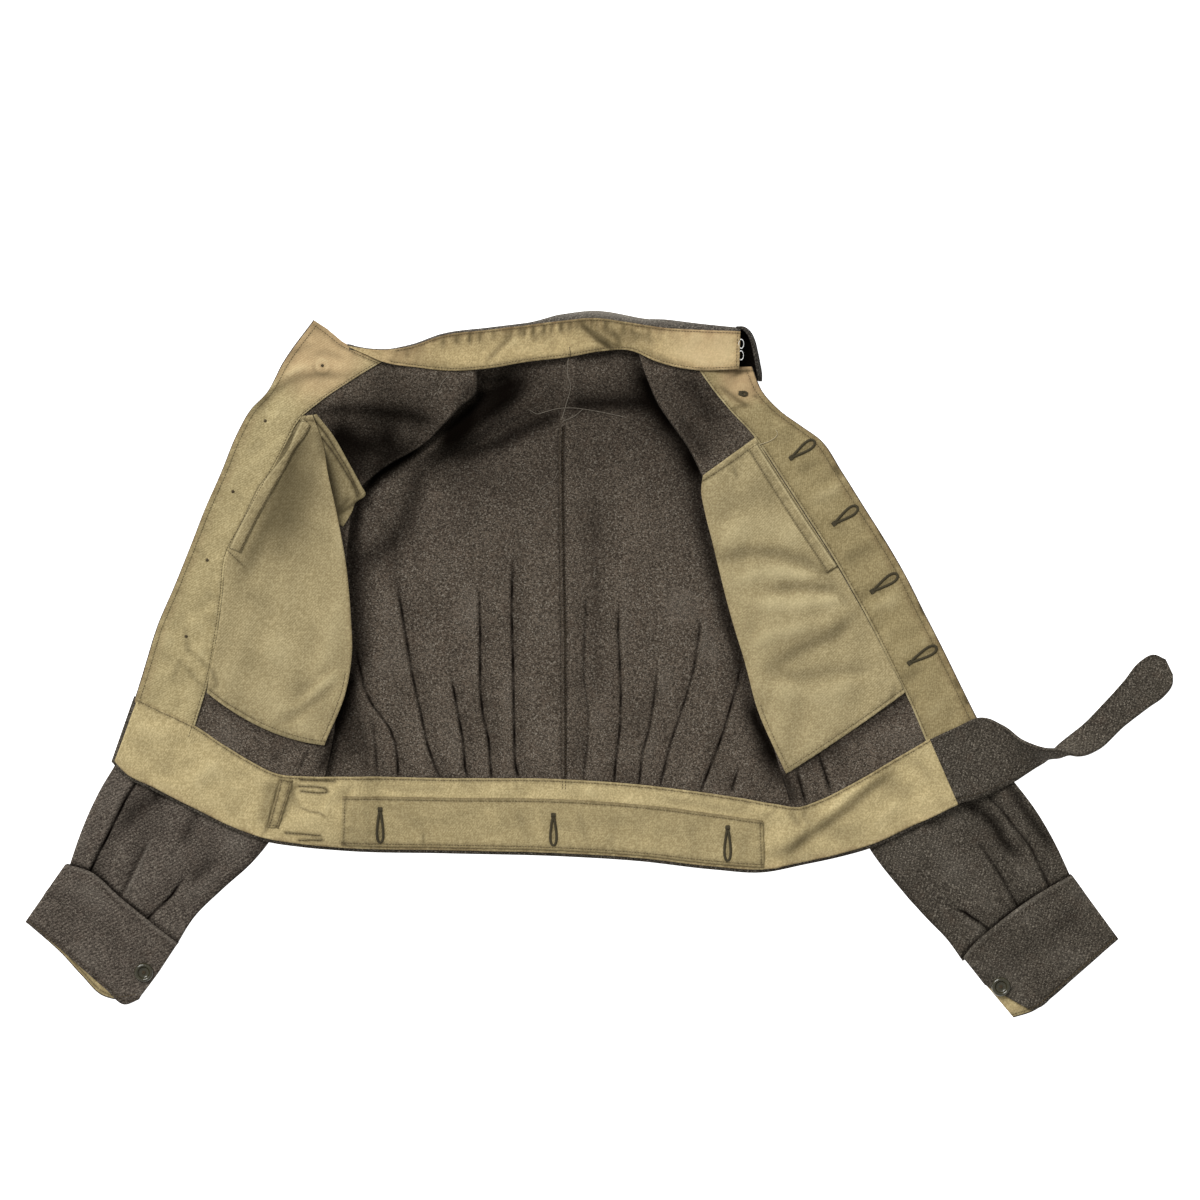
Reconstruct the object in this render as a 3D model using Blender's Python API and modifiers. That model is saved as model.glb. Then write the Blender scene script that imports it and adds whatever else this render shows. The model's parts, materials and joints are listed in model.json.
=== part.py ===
"""Battle dress tunic of wool serge with cotton drill linings, opened and laid flat on its back.

Tables are in millimetres: X to the right, Y towards the collar, Z up from the surface it lies on.
Left and right are as seen from above. Every cut piece is a wall of cloth that is lofted through the
rows of its table, lowered onto the cloth already lying there, and given its thickness.
"""
import math
from collections import namedtuple

import bmesh
import bpy
import numpy as np

GARMENT = "battle_dress_tunic"
MM = 0.001

# Cloth, in millimetres
WOOL = 2.0
DRILL = 1.0
DOUBLE_WOOL = 3.0
SEAM = 0.3
DROP_SLOPE = 0.45

# Trim
BUTTON_RADIUS = 10.0
BUTTON_HEIGHT = 4.2
EYE_WIRE_RADIUS = 0.6
EYE_HALF_WIDTH = 2.4
EYE_POINTS = 16
EYE_HALF_HEIGHT = 4.6

# Height map of the cloth already laid down
CELL = 3.0
REACH_X = 645.0
REACH_Y = 405.0

# One row is a section across one side of the body, from the front edge to the centre back:
# plan places of the edge, the facing's inner line and the inner fold, Y of the centre back seam,
# and the heights of the wool at edge, facing line and fold.
BodyRow = namedtuple(
    "BodyRow", "edge_x edge_y facing_x facing_y fold_x fold_y seam_y edge_z facing_z fold_z"
)
LEFT_BODY = [
    BodyRow(-300, 362, -233, 323, -132, 312, 328, 5, 15, 17),
    BodyRow(-328, 318, -262, 297, -133, 286, 301, 5, 17, 19),
    BodyRow(-350, 286, -293, 276, -152, 268, 281, 6, 16, 18),
    BodyRow(-367, 268, -314, 258, -182, 235, 256, 7, 14, 14),
    BodyRow(-381, 243, -331, 226, -232, 204, 226, 8, 12, 11),
    BodyRow(-394, 204, -351, 189, -258, 178, 195, 8, 10, 10),
    BodyRow(-412, 163, -373, 149, -264, 142, 156, 8, 10, 9),
    BodyRow(-431, 122, -391, 115, -268, 106, 112, 8, 10, 8),
    BodyRow(-448, 80, -396, 72, -271, 62, 66, 8, 10, 8),
    BodyRow(-464, 43, -402, 30, -274, 20, 22, 8, 10, 8),
    BodyRow(-476, 5, -409, -10, -277, -28, -28, 8, 10, 7),
    BodyRow(-489, -38, -430, -80, -278, -136, -131, 8, 9, 5),
]
RIGHT_BODY = [
    BodyRow(160, 313, 102, 312, 40, 331, 328, 8, 12, 12),
    BodyRow(170, 288, 119, 288, 49, 303, 301, 8, 13, 14),
    BodyRow(188, 268, 138, 265, 62, 276, 281, 8, 13, 15),
    BodyRow(212, 253, 158, 244, 80, 249, 256, 8, 12, 14),
    BodyRow(233, 233, 172, 225, 97, 224, 226, 8, 11, 13),
    BodyRow(254, 203, 193, 193, 110, 195, 195, 8, 10, 11),
    BodyRow(276, 168, 217, 156, 117, 160, 156, 8, 10, 9),
    BodyRow(300, 130, 242, 117, 126, 122, 112, 8, 10, 8),
    BodyRow(322, 92, 263, 81, 136, 82, 72, 8, 10, 8),
    BodyRow(341, 54, 287, 37, 149, 38, 30, 8, 10, 8),
    BodyRow(361, 15, 305, 1, 162, -10, -12, 8, 10, 7),
    BodyRow(380, -24, 324, -37, 178, -68, -62, 8, 9, 6),
    BodyRow(397, -58, 343, -82, 206, -160, -131, 8, 8, 4),
]
# Centre back seam: X at the neck, between the shoulders and at the waist
SEAM_NECK_X = -33.0
SEAM_SHOULDER_X = -42.0
SEAM_WAIST_X = -39.0

# Shares of the facing's width where the front has points, the second one being the facing's edge
FACING_SHARES = (0.0, 0.05, 0.5, 1.0)
BODY_SHARES = (0.16, 0.33, 0.5, 0.67, 0.84, 1.0)
FOLD_ANGLES = (50.0, 105.0, 160.0)
FOLD_RADIUS_MOST = 5.5
FOLD_RADIUS_LEAST = 1.0
BACK_LAP = 24.0

# A pleat of the back: shares of the half back's width at its foot and head (from the centre), the
# height up the back where the head is and where its ridge fades, and how far the fold stands up.
Pleat = namedtuple("Pleat", "foot_share head_share head_y fade_y rise")
LEFT_PLEATS = [
    Pleat(0.205, 0.215, 111, 130, 2.6),
    Pleat(0.320, 0.360, 81, 100, 2.8),
    Pleat(0.436, 0.500, 40, 20, 2.6),
    Pleat(0.556, 0.690, 71, 85, 3.0),
    Pleat(0.730, 0.830, 30, 15, 2.8),
    Pleat(0.825, 0.900, 10, -50, 2.4),
]
RIGHT_PLEATS = [
    Pleat(0.090, 0.155, 71, 80, 1.8),
    Pleat(0.230, 0.310, 64, 75, 2.6),
    Pleat(0.333, 0.450, 10, 10, 2.6),
    Pleat(0.420, 0.690, 58, 65, 3.0),
    Pleat(0.600, 0.800, 7, 20, 2.8),
    Pleat(0.735, 0.880, 7, -90, 2.4),
]
WAIST_Y = -118.0
PLEAT_STEP = 1.6

# A soft ridge of cloth along a line: its ends, half width and height.
Ridge = namedtuple("Ridge", "from_x from_y to_x to_y half_width height")
BACK_RIDGES = [
    Ridge(50, 331, -40, 326, 34, 9),
    Ridge(-40, 326, -80, 320, 24, 8),
    Ridge(60, 300, -40, 300, 30, 10),
    Ridge(-40, 300, -90, 286, 26, 11),
    Ridge(-90, 286, -170, 228, 21, 13),
]

# Pocket bags: seam side, free side, and how far the row sags between them.
BagRow = namedtuple("BagRow", "seam_x seam_y free_x free_y sag")
LEFT_BAG = [
    BagRow(-309, 261, -301, 262, 0),
    BagRow(-321, 241, -290, 232, 0),
    BagRow(-335, 215, -284, 200, 0),
    BagRow(-350, 186, -277, 168, 0),
    BagRow(-369, 152, -270, 132, 0),
    BagRow(-388, 116, -265, 96, 0),
    BagRow(-393, 72, -261, 50, 0),
    BagRow(-399, 30, -260, 14, 1),
    BagRow(-406, -6, -266, -26, 4),
    BagRow(-410, -30, -289, -84, 11),
]
RIGHT_BAG = [
    BagRow(162, 233, 110, 199, 0),
    BagRow(177, 211, 106, 184, 0),
    BagRow(196, 182, 110, 160, 0),
    BagRow(216, 151, 117, 132, 0),
    BagRow(239, 115, 126, 95, 0),
    BagRow(260, 79, 137, 52, 0),
    BagRow(283, 38, 151, 6, 0),
    BagRow(302, 1, 165, -46, 0),
    BagRow(318, -30, 195, -114, 2),
]
LEFT_BAG_LAYER = [
    BagRow(-300, 262, -297, 263, 0),
    BagRow(-294, 240, -281, 243, 0),
    BagRow(-289, 215, -263, 212, 0),
    BagRow(-283, 190, -246, 179, 0),
    BagRow(-278, 165, -258, 163, 0),
    BagRow(-274, 148, -268, 146, 0),
]
BAG_RIDGES = [
    Ridge(-292, 222, -268, 110, 16, 4.0),
    Ridge(-330, 20, -300, -60, 26, 3.0),
    Ridge(118, 130, 190, 110, 18, 3.0),
    Ridge(170, 60, 260, 40, 22, 3.0),
    Ridge(160, -30, 200, -100, 18, 3.5),
]
WELT_WIDTH = 10.0
WELT_START = 1.2

# Waistband, from the left end to the right end of its lining: top edge and bottom edge.
BandRow = namedtuple("BandRow", "top_x top_y low_x low_y")
WAISTBAND = [
    BandRow(-488, -33, -510, -88),
    BandRow(-462, -46, -503, -108),
    BandRow(-426, -63, -470, -127),
    BandRow(-394, -84, -424, -151),
    BandRow(-366, -101, -385, -170),
    BandRow(-339, -114, -350, -182),
    BandRow(-305, -117, -312, -188),
    BandRow(-269, -117, -272, -192),
    BandRow(-160, -119, -160, -195),
    BandRow(-42, -120, -42, -198),
    BandRow(44, -126, 40, -203),
    BandRow(129, -137, 120, -212),
    BandRow(185, -146, 172, -215),
    BandRow(208, -149, 213, -207),
    BandRow(232, -141, 248, -199),
    BandRow(258, -128, 283, -189),
    BandRow(302, -103, 329, -168),
    BandRow(345, -77, 375, -146),
]
WOOL_BORDER = 2.5
BAND_RIDGES = [
    Ridge(190, -196, 300, -118, 12, 3.5),
    Ridge(240, -190, 330, -125, 10, 2.5),
    Ridge(-400, -95, -440, -140, 14, 2.0),
]
# Buttonhole strip and belt-loop tuck on the lining: from and to in X, shares down the band.
STRIP_FROM_X = -269.0
STRIP_TO_X = 174.0
STRIP_TOP_SHARE = 0.27
STRIP_LOW_SHARE = 0.965
TUCK_FROM_X = -345.0
TUCK_TO_X = -331.0
TUCK_TOP_SHARE = 0.05
TUCK_LOW_SHARE = 0.80

# Belt strap: its two edges in space. It turns over once, so edge A ends up on the other side.
StrapRow = namedtuple("StrapRow", "a_x a_y a_z b_x b_y b_z")
STRAP = [
    StrapRow(343, -79, 11.0, 372, -146, 11.0),
    StrapRow(372, -66, 11.5, 402, -138, 10.0),
    StrapRow(401, -55, 13.0, 424, -128, 9.0),
    StrapRow(421, -63, 20.0, 441, -119, 5.0),
    StrapRow(441, -79, 31.0, 457, -108, 2.0),
    StrapRow(465, -87, 36.0, 471, -97, 1.6),
    StrapRow(497, -97, 28.0, 484, -82, 1.6),
    StrapRow(524, -86, 12.0, 504, -62, 1.6),
    StrapRow(551, -65, 1.6, 526, -37, 1.6),
    StrapRow(577, -45, 1.6, 551, -13, 1.6),
    StrapRow(593, -33, 1.6, 570, 5, 1.6),
    StrapRow(601, -22, 1.6, 584, 9, 1.6),
    StrapRow(603, -12, 1.6, 596, 4, 1.6),
]

# Collar lining: top edge and neck seam with their heights, and how far the wool shows past the top.
CollarRow = namedtuple("CollarRow", "top_x top_y seam_x seam_y top_z seam_z show")
COLLAR = [
    CollarRow(-236, 332, -231, 319, 13, 18, 1.5),
    CollarRow(-198, 335, -182, 310, 16, 19, 1.5),
    CollarRow(-165, 345, -157, 308, 18, 19, 1.5),
    CollarRow(-117, 351, -122, 310, 19, 17, 2.0),
    CollarRow(-74, 356, -74, 318, 19, 14, 2.5),
    CollarRow(-42, 359, -31, 322, 19, 13, 7.0),
    CollarRow(-5, 363, 2, 326, 19, 13, 9.0),
    CollarRow(42, 357, 36, 328, 19, 14, 6.0),
    CollarRow(68, 352, 66, 319, 18, 15, 5.0),
    CollarRow(105, 351, 102, 309, 18, 15, 5.0),
    CollarRow(145, 350, 144, 310, 17, 15, 5.0),
]
COLLAR_FLOOR_REACH = 26.0
NECK_LAP = 10.0

# Turned end of the collar: its floor edge, the foot of its wall and the top of its wall.
CollarEndRow = namedtuple("CollarEndRow", "floor_x floor_y foot_x foot_y top_x top_y top_z")
COLLAR_END = [
    CollarEndRow(145.4, 347, 152, 354, 150.5, 353.0, 15),
    CollarEndRow(145.4, 338, 160, 346, 157.5, 345.0, 16),
    CollarEndRow(145.4, 327, 164.5, 330, 161.5, 329.5, 16),
    CollarEndRow(145.4, 319, 166, 317, 163.5, 317.0, 14),
]

# Sleeves, from the cuff up: outer edge and inner edge of the flat tube.
SleeveRow = namedtuple("SleeveRow", "out_x out_y in_x in_y")
LEFT_SLEEVE = [
    SleeveRow(-558, -213, -446, -296),
    SleeveRow(-553, -198, -428, -267),
    SleeveRow(-541, -165, -396, -235),
    SleeveRow(-526, -133, -366, -208),
    SleeveRow(-508, -102, -341, -176),
    SleeveRow(-480, -36, -318, -122),
    SleeveRow(-447, 36, -302, -50),
    SleeveRow(-410, 124, -294, 40),
    SleeveRow(-376, 200, -288, 132),
    SleeveRow(-336, 270, -268, 214),
]
RIGHT_SLEEVE = [
    SleeveRow(495, -224, 381, -311),
    SleeveRow(486, -204, 366, -290),
    SleeveRow(472, -176, 343, -266),
    SleeveRow(456, -150, 318, -238),
    SleeveRow(436, -124, 284, -194),
    SleeveRow(388, -58, 258, -140),
    SleeveRow(352, 8, 236, -70),
    SleeveRow(304, 90, 212, 20),
    SleeveRow(258, 168, 184, 104),
    SleeveRow(212, 234, 148, 182),
]
# A sleeve pleat: share across from the outer edge, rows it runs up from the cuff, its rise.
SleevePleat = namedtuple("SleevePleat", "share rows rise")
LEFT_SLEEVE_PLEATS = [
    SleevePleat(0.21, 4.5, 2.6),
    SleevePleat(0.45, 2.2, 2.4),
    SleevePleat(0.74, 1.8, 3.4),
]
RIGHT_SLEEVE_PLEATS = [
    SleevePleat(0.18, 4.2, 2.6),
    SleevePleat(0.48, 3.2, 2.8),
    SleevePleat(0.76, 1.8, 3.0),
]
SLEEVE_PUFF = 3.0
SLEEVE_STEP_SHARE = 0.012

# Cuffs, from the outer side to the button side: sleeve seam, middle and lower edge of the top
# layer, and lower edge of the under layer.
CuffRow = namedtuple("CuffRow", "seam_x seam_y mid_x mid_y end_x end_y under_x under_y")
LEFT_CUFF = [
    CuffRow(-561, -209, -583, -240, -604, -270, -602, -272),
    CuffRow(-536, -216, -553, -256, -569, -297, -566, -304),
    CuffRow(-503, -244, -524, -282, -544, -319, -545, -327),
    CuffRow(-476, -266, -499, -303, -520, -340, -523, -348),
    CuffRow(-456, -282, -479, -318, -500, -353, -503, -358),
    CuffRow(-443, -292, -463, -322, -485, -352, -488, -353),
]
RIGHT_CUFF = [
    CuffRow(495, -220, 520, -254, 545, -288, 544, -289),
    CuffRow(470, -234, 497, -270, 524, -306, 523, -308),
    CuffRow(439, -254, 470, -291, 500, -327, 499, -329),
    CuffRow(408, -279, 442, -315, 477, -347, 474, -351),
    CuffRow(393, -292, 423, -325, 461, -359, 455, -364),
    CuffRow(381, -307, 404, -336, 449, -361, 435, -371),
]
CUFF_LINING_INSET = 1.0

LEFT_BUTTON = (-479.0, -323.0)
RIGHT_BUTTON = (421.0, -338.0)
EYE_PLACES = (336.5, 324.5)

# Colours in linear RGB with a roughness
WOOL_COLOUR = (0.060, 0.048, 0.038)
DRILL_COLOUR = (0.400, 0.330, 0.165)
BUTTON_COLOUR = (0.070, 0.058, 0.030)
WIRE_COLOUR = (0.750, 0.750, 0.730)


def stations(rows, count):
    """Even steps along the mean path of a set of rails, as fractional row numbers."""
    steps = np.mean([np.linalg.norm(np.diff(rail, axis=0), axis=1) for rail in rows], axis=0)
    along = np.concatenate([[0.0], np.cumsum(steps)])
    return np.interp(np.linspace(0.0, along[-1], count), along, np.arange(len(along)))


def smooth(points, at):
    """Smooth curve through points, read at fractional row numbers."""
    points = np.asarray(points, float)
    lengths = np.maximum(np.linalg.norm(np.diff(points, axis=0), axis=1), 1e-6)
    slopes = np.diff(points, axis=0) / lengths[:, None]
    tangents = np.empty_like(points)
    tangents[0] = slopes[0]
    tangents[-1] = slopes[-1]
    weight = (lengths[1:] / (lengths[:-1] + lengths[1:]))[:, None]
    tangents[1:-1] = slopes[:-1] * weight + slopes[1:] * (1.0 - weight)
    row = np.clip(np.floor(at).astype(int), 0, len(points) - 2)
    part = (at - row)[:, None]
    span = lengths[row][:, None]
    start = (1 + 2 * part) * (1 - part) ** 2 * points[row] + part * (1 - part) ** 2 * span * tangents[row]
    end = part ** 2 * (3 - 2 * part) * points[row + 1] - part ** 2 * (1 - part) * span * tangents[row + 1]
    return start + end


def column(rows, *names):
    """Named columns of a table as an array of points."""
    return np.array([[getattr(row, name) for name in names] for row in rows], float)


def between(first, second, shares):
    """Points at the given shares of the way from one rail to another, row by row."""
    shares = np.asarray(shares, float)
    if shares.ndim == 1:
        shares = np.tile(shares, (len(first), 1))
    return first[:, None, :] + (second - first)[:, None, :] * shares[:, :, None]


def normals(surface):
    """Upward normals of a grid of points."""
    across = np.gradient(surface, axis=1)
    down = np.gradient(surface, axis=0)
    facing = np.cross(across, down)
    facing /= np.maximum(np.linalg.norm(facing, axis=2, keepdims=True), 1e-9)
    return facing if facing[:, :, 2].mean() > 0 else -facing


def raised(surface, distance):
    """A grid moved out along its normals."""
    return surface + normals(surface) * distance


def ridge_heights(plan, ridges):
    """Height that a set of soft ridges gives at each point of a plan."""
    heights = np.zeros(plan.shape[:2])
    for ridge in ridges:
        start = np.array([ridge.from_x, ridge.from_y], float)
        run = np.array([ridge.to_x, ridge.to_y], float) - start
        share = np.clip(((plan - start) @ run) / (run @ run), 0.0, 1.0)
        away = np.linalg.norm(plan - start - share[:, :, None] * run, axis=2)
        bell = 0.5 + 0.5 * np.cos(np.pi * np.minimum(away / ridge.half_width, 1.0))
        heights = np.maximum(heights, ridge.height * bell)
    return heights


class Bench:
    """The surface under the tunic, and how high the cloth already laid on it reaches."""

    SAMPLES = 7

    def __init__(self):
        self.top = np.zeros((int(2 * REACH_X / CELL) + 1, int(2 * REACH_Y / CELL) + 1))

    def cells(self, points):
        """Cell numbers under a set of points."""
        first = np.clip(np.rint((points[..., 0] + REACH_X) / CELL).astype(int), 1, self.top.shape[0] - 2)
        second = np.clip(np.rint((points[..., 1] + REACH_Y) / CELL).astype(int), 1, self.top.shape[1] - 2)
        return first, second

    def spread(self, surface):
        """Points all over the quads of a grid, with the quad's corner numbers."""
        steps = np.linspace(0.0, 1.0, self.SAMPLES)
        a, b = (part.ravel() for part in np.meshgrid(steps, steps))
        corners = (surface[:-1, :-1], surface[:-1, 1:], surface[1:, :-1], surface[1:, 1:])
        shares = ((1 - a) * (1 - b), a * (1 - b), (1 - a) * b, a * b)
        return sum(corner[:, :, None, :] * share[None, None, :, None] for corner, share in zip(corners, shares))

    def add(self, surface):
        """Cloth with this upper face now lies there."""
        points = self.spread(surface).reshape(-1, 3)
        np.maximum.at(self.top, self.cells(points), points[:, 2])

    def cover(self):
        """Highest cloth in each cell and the cells round it, with the seam's gap above it."""
        padded = np.pad(self.top, 1)
        shifts = [padded[i:i + self.top.shape[0], j:j + self.top.shape[1]] for i in range(3) for j in range(3)]
        highest = np.max(shifts, axis=0)
        return np.where(highest > 0.0, highest + SEAM, 0.0)

    def rest(self, plan, wish, slope=DROP_SLOPE, passes=14):
        """Heights of a panel's under side that clear the cloth below, and drop away no steeper than slope."""
        cover = self.cover()
        low = np.maximum(wish, 0.0)
        sideways = np.linalg.norm(np.diff(plan, axis=1), axis=2) * slope
        lengthways = np.linalg.norm(np.diff(plan, axis=0), axis=2) * slope
        for _ in range(passes):
            points = self.spread(np.dstack([plan, low]))
            short = (cover[self.cells(points)] - points[..., 2]).max(axis=2)
            short = np.maximum(short, 0.0)
            lift = np.zeros_like(low)
            for rows in (slice(None, -1), slice(1, None)):
                for columns in (slice(None, -1), slice(1, None)):
                    lift[rows, columns] = np.maximum(lift[rows, columns], short)
            low = low + lift
            low[:, 1:] = np.maximum(low[:, 1:], low[:, :-1] - sideways)
            low[:, :-1] = np.maximum(low[:, :-1], low[:, 1:] - sideways)
            low[1:] = np.maximum(low[1:], low[:-1] - lengthways)
            low[:-1] = np.maximum(low[:-1], low[1:] - lengthways)
        return low


def finish(name, colour, roughness, metallic=0.0):
    """A plain finish of one colour."""
    material = bpy.data.materials.new(name)
    material.use_nodes = True
    shader = material.node_tree.nodes["Principled BSDF"]
    shader.inputs["Base Color"].default_value = (*colour, 1.0)
    shader.inputs["Roughness"].default_value = roughness
    shader.inputs["Metallic"].default_value = metallic
    return material


class Tunic:
    """The garment's pieces, laid down one after another."""

    def __init__(self):
        self.bench = Bench()
        self.collection = bpy.data.collections.new(GARMENT)
        bpy.context.scene.collection.children.link(self.collection)
        self.wool = ("wool_serge", WOOL_COLOUR, 0.95)
        self.drill = ("cotton_drill", DRILL_COLOUR, 0.90)

    def own(self, name, mesh, look):
        """Put a mesh into the garment as its own object with its own finish."""
        piece = bpy.data.objects.new(name, mesh)
        mesh.materials.append(finish(f"{name}_{look[0]}", *look[1:]))
        self.collection.objects.link(piece)
        return piece

    def wall(self, name, low, high, look):
        """A closed wall of cloth between two grids of points in millimetres."""
        rows, columns = low.shape[:2]
        bm = bmesh.new()
        bmesh.ops.create_grid(bm, x_segments=columns - 1, y_segments=rows - 1, size=1.0)
        bmesh.ops.triangulate(bm, faces=bm.faces[:], quad_method="FIXED")
        under = set(bm.verts)
        bmesh.ops.extrude_face_region(bm, geom=bm.faces[:], use_keep_orig=True)
        for vert in bm.verts:
            place = (round((vert.co.y + 1) / 2 * (rows - 1)), round((vert.co.x + 1) / 2 * (columns - 1)))
            vert.co = (low if vert in under else high)[place] * MM
        bmesh.ops.recalc_face_normals(bm, faces=bm.faces[:])
        if bm.calc_volume(signed=True) < 0.0:
            bmesh.ops.reverse_faces(bm, faces=bm.faces[:])
        mesh = bpy.data.meshes.new(name)
        bm.to_mesh(mesh)
        bm.free()
        mesh.shade_smooth()
        return self.own(name, mesh, look)

    def lay(self, name, plan, wish, thickness, look, relief=0.0):
        """Lower a panel onto what lies there and return its under and upper grids."""
        low = np.dstack([plan, self.bench.rest(plan, wish)])
        high = raised(low, thickness)
        high[:, :, 2] += relief
        self.wall(name, low, high, look)
        self.bench.add(high)
        return low, high

    def cuff_under(self, side, rows):
        """Under layer of a cuff, flat on the surface."""
        at = stations([column(rows, "seam_x", "seam_y")], 7)
        seam = smooth(column(rows, "seam_x", "seam_y"), at)
        end = smooth(column(rows, "under_x", "under_y"), at)
        plan = between(seam, end, (0.0, 0.5, 1.0))
        self.lay(f"cuff_under_{side}", plan, np.zeros(plan.shape[:2]), WOOL, self.wool)

    def cuff_lining(self, side, rows):
        """Drill lining on the under layer of a cuff."""
        at = stations([column(rows, "seam_x", "seam_y")], 7)
        seam = smooth(column(rows, "seam_x", "seam_y"), at)
        end = smooth(column(rows, "under_x", "under_y"), at)
        inset = CUFF_LINING_INSET / np.linalg.norm(end - seam, axis=1).mean()
        plan = between(seam, end, (0.2, 0.5, 1.0 - inset))
        self.lay(f"cuff_lining_{side}", plan, np.zeros(plan.shape[:2]), DRILL, self.drill)

    def sleeve_under(self, side, rows):
        """Under layer of a flattened sleeve."""
        out = column(rows, "out_x", "out_y")
        inner = column(rows, "in_x", "in_y")
        at = stations([out, inner], 7)
        plan = between(smooth(out, at), smooth(inner, at), (0.0, 0.5, 1.0))
        self.lay(f"sleeve_under_{side}", plan, np.zeros(plan.shape[:2]), WOOL, self.wool)

    def sleeve_top(self, side, rows, pleats):
        """Top layer of a flattened sleeve, with the pleats that run into the cuff."""
        out = column(rows, "out_x", "out_y")
        inner = column(rows, "in_x", "in_y")
        shares = [0.0, 1.0]
        rises = {}
        for pleat in pleats:
            shares += [pleat.share - SLEEVE_STEP_SHARE, pleat.share + SLEEVE_STEP_SHARE]
            rises[pleat.share - SLEEVE_STEP_SHARE] = pleat
        ends = [0.0] + [pleat.share for pleat in pleats] + [1.0]
        shares += [(first + last) / 2 for first, last in zip(ends, ends[1:])]
        shares = sorted(shares)
        at = stations([out, inner], 15)
        plan = between(smooth(out, at), smooth(inner, at), shares)
        puff = SLEEVE_PUFF * np.sin(np.pi * np.array(shares)) ** 0.7
        wish = WOOL + SEAM + np.tile(puff, (len(at), 1))
        relief = np.zeros_like(wish)
        for number, share in enumerate(shares):
            if share in rises:
                pleat = rises[share]
                relief[:, number] = pleat.rise * np.clip(1.0 - at / pleat.rows, 0.0, 1.0) ** 0.6
        self.lay(f"sleeve_top_{side}", plan, wish, WOOL, self.wool, relief)

    def cuff_top(self, side, rows):
        """Top layer of a cuff, over the end of its sleeve."""
        at = stations([column(rows, "seam_x", "seam_y")], 9)
        rails = [smooth(column(rows, f"{part}_x", f"{part}_y"), at) for part in ("seam", "mid", "end")]
        plan = np.concatenate(
            [between(rails[0], rails[1], (0.0, 0.3, 0.65)), between(rails[1], rails[2], (0.0, 0.5, 1.0))], axis=1
        )
        return self.lay(f"cuff_top_{side}", plan, np.zeros(plan.shape[:2]), WOOL, self.wool)

    def back(self, side, rows, pleats, gap):
        """Half of the back, from the centre seam to under the front's fold, with its pleats."""
        fold = column(rows, "fold_x", "fold_y")
        facing = column(rows, "facing_x", "facing_y")
        toward = (facing - fold) / np.linalg.norm(facing - fold, axis=1, keepdims=True)
        lap = BACK_LAP * np.clip((fold[:, 1] - WAIST_Y) / 200.0, 0.12, 1.0)
        lap[0] = 1.0
        outer = fold + toward * lap[:, None]
        outer[0] -= (0.0, 2.0)
        seam_y = column(rows, "seam_y")[:, 0]
        seam_x = np.interp(seam_y, [WAIST_Y, 113.0, 238.0, 321.0], [SEAM_WAIST_X, SEAM_SHOULDER_X, -41.0, SEAM_NECK_X])
        centre = np.column_stack([seam_x + gap, seam_y])
        at = stations([outer, centre], 18)
        outer = smooth(outer, at)
        centre = smooth(centre, at)
        height = centre[:, 1]
        width = np.linalg.norm(outer - centre, axis=1)
        lines = [np.zeros(len(at))]
        crests = {}
        for pleat in pleats:
            climb = np.clip((height - WAIST_Y) / (pleat.head_y - WAIST_Y), 0.0, 1.0)
            line = pleat.foot_share + (pleat.head_share - pleat.foot_share) * climb
            step = PLEAT_STEP / width
            lines += [(lines[-1] + line) / 2, line - step, line + step]
            crests[len(lines) - 2] = pleat
        lines += [(lines[-1] + 1.0) / 2, np.ones(len(at))]
        plan = between(centre, outer, np.column_stack(lines))
        wish = ridge_heights(plan, BACK_RIDGES)
        relief = np.zeros_like(wish)
        for number, pleat in crests.items():
            climb = np.clip((height - WAIST_Y) / (pleat.fade_y - WAIST_Y), 0.0, 1.0)
            relief[:, number] = pleat.rise * (1.0 - climb) ** 0.7
        self.lay(f"back_{side}", plan, wish, WOOL, self.wool, relief)

    def front(self, side, rows):
        """Front of wool with a rolled inner fold, and the drill facing made from its points."""
        rails = [column(rows, f"{part}_x", f"{part}_y") for part in ("edge", "facing", "fold")]
        at = stations(rails, 18)
        edge, facing, fold = (smooth(rail, at) for rail in rails)
        heights = smooth(column(rows, "edge_z", "facing_z", "fold_z"), at)
        plan = np.concatenate(
            [between(edge, facing, FACING_SHARES), between(facing, fold, BODY_SHARES)], axis=1
        )
        to_facing = between(heights[:, :1], heights[:, 1:2], FACING_SHARES)
        to_fold = between(heights[:, 1:2], heights[:, 2:3], BODY_SHARES)
        wish = np.concatenate([to_facing, to_fold], axis=1)[:, :, 0]
        inward = facing - fold
        inward /= np.linalg.norm(inward, axis=1, keepdims=True)
        cover = self.bench.cover()
        floor = np.max([cover[self.bench.cells(fold + inward * shift)] for shift in (-3.0, 0.0, 3.0)], axis=0)
        wish[:, -1] = np.maximum(wish[:, -1], floor + WOOL + 2 * FOLD_RADIUS_LEAST + SEAM)
        low = np.dstack([plan, self.bench.rest(plan, wish)])
        radius = (low[:, -1, 2] - floor - WOOL - SEAM) / 2
        radius = np.clip(radius, FOLD_RADIUS_LEAST, FOLD_RADIUS_MOST)
        roll = []
        for degrees in FOLD_ANGLES:
            turn = math.radians(degrees)
            away = -inward * (radius * math.sin(turn))[:, None] + inward * radius[:, None] * 0.6
            drop = radius * (1.0 - math.cos(turn))
            roll.append(np.column_stack([fold + away, low[:, -1, 2] - drop])[:, None, :])
        low = np.concatenate([low] + roll, axis=1)
        high = raised(low, WOOL)
        self.wall(f"front_{side}", low, high, self.wool)
        self.bench.add(high)
        facing_part = slice(1, len(FACING_SHARES))
        facing_low = raised(low, WOOL + SEAM)[:, facing_part]
        facing_high = raised(low, WOOL + SEAM + DRILL)[:, facing_part]
        self.wall(f"facing_{side}", facing_low, facing_high, self.drill)
        self.bench.add(facing_high)

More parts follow.
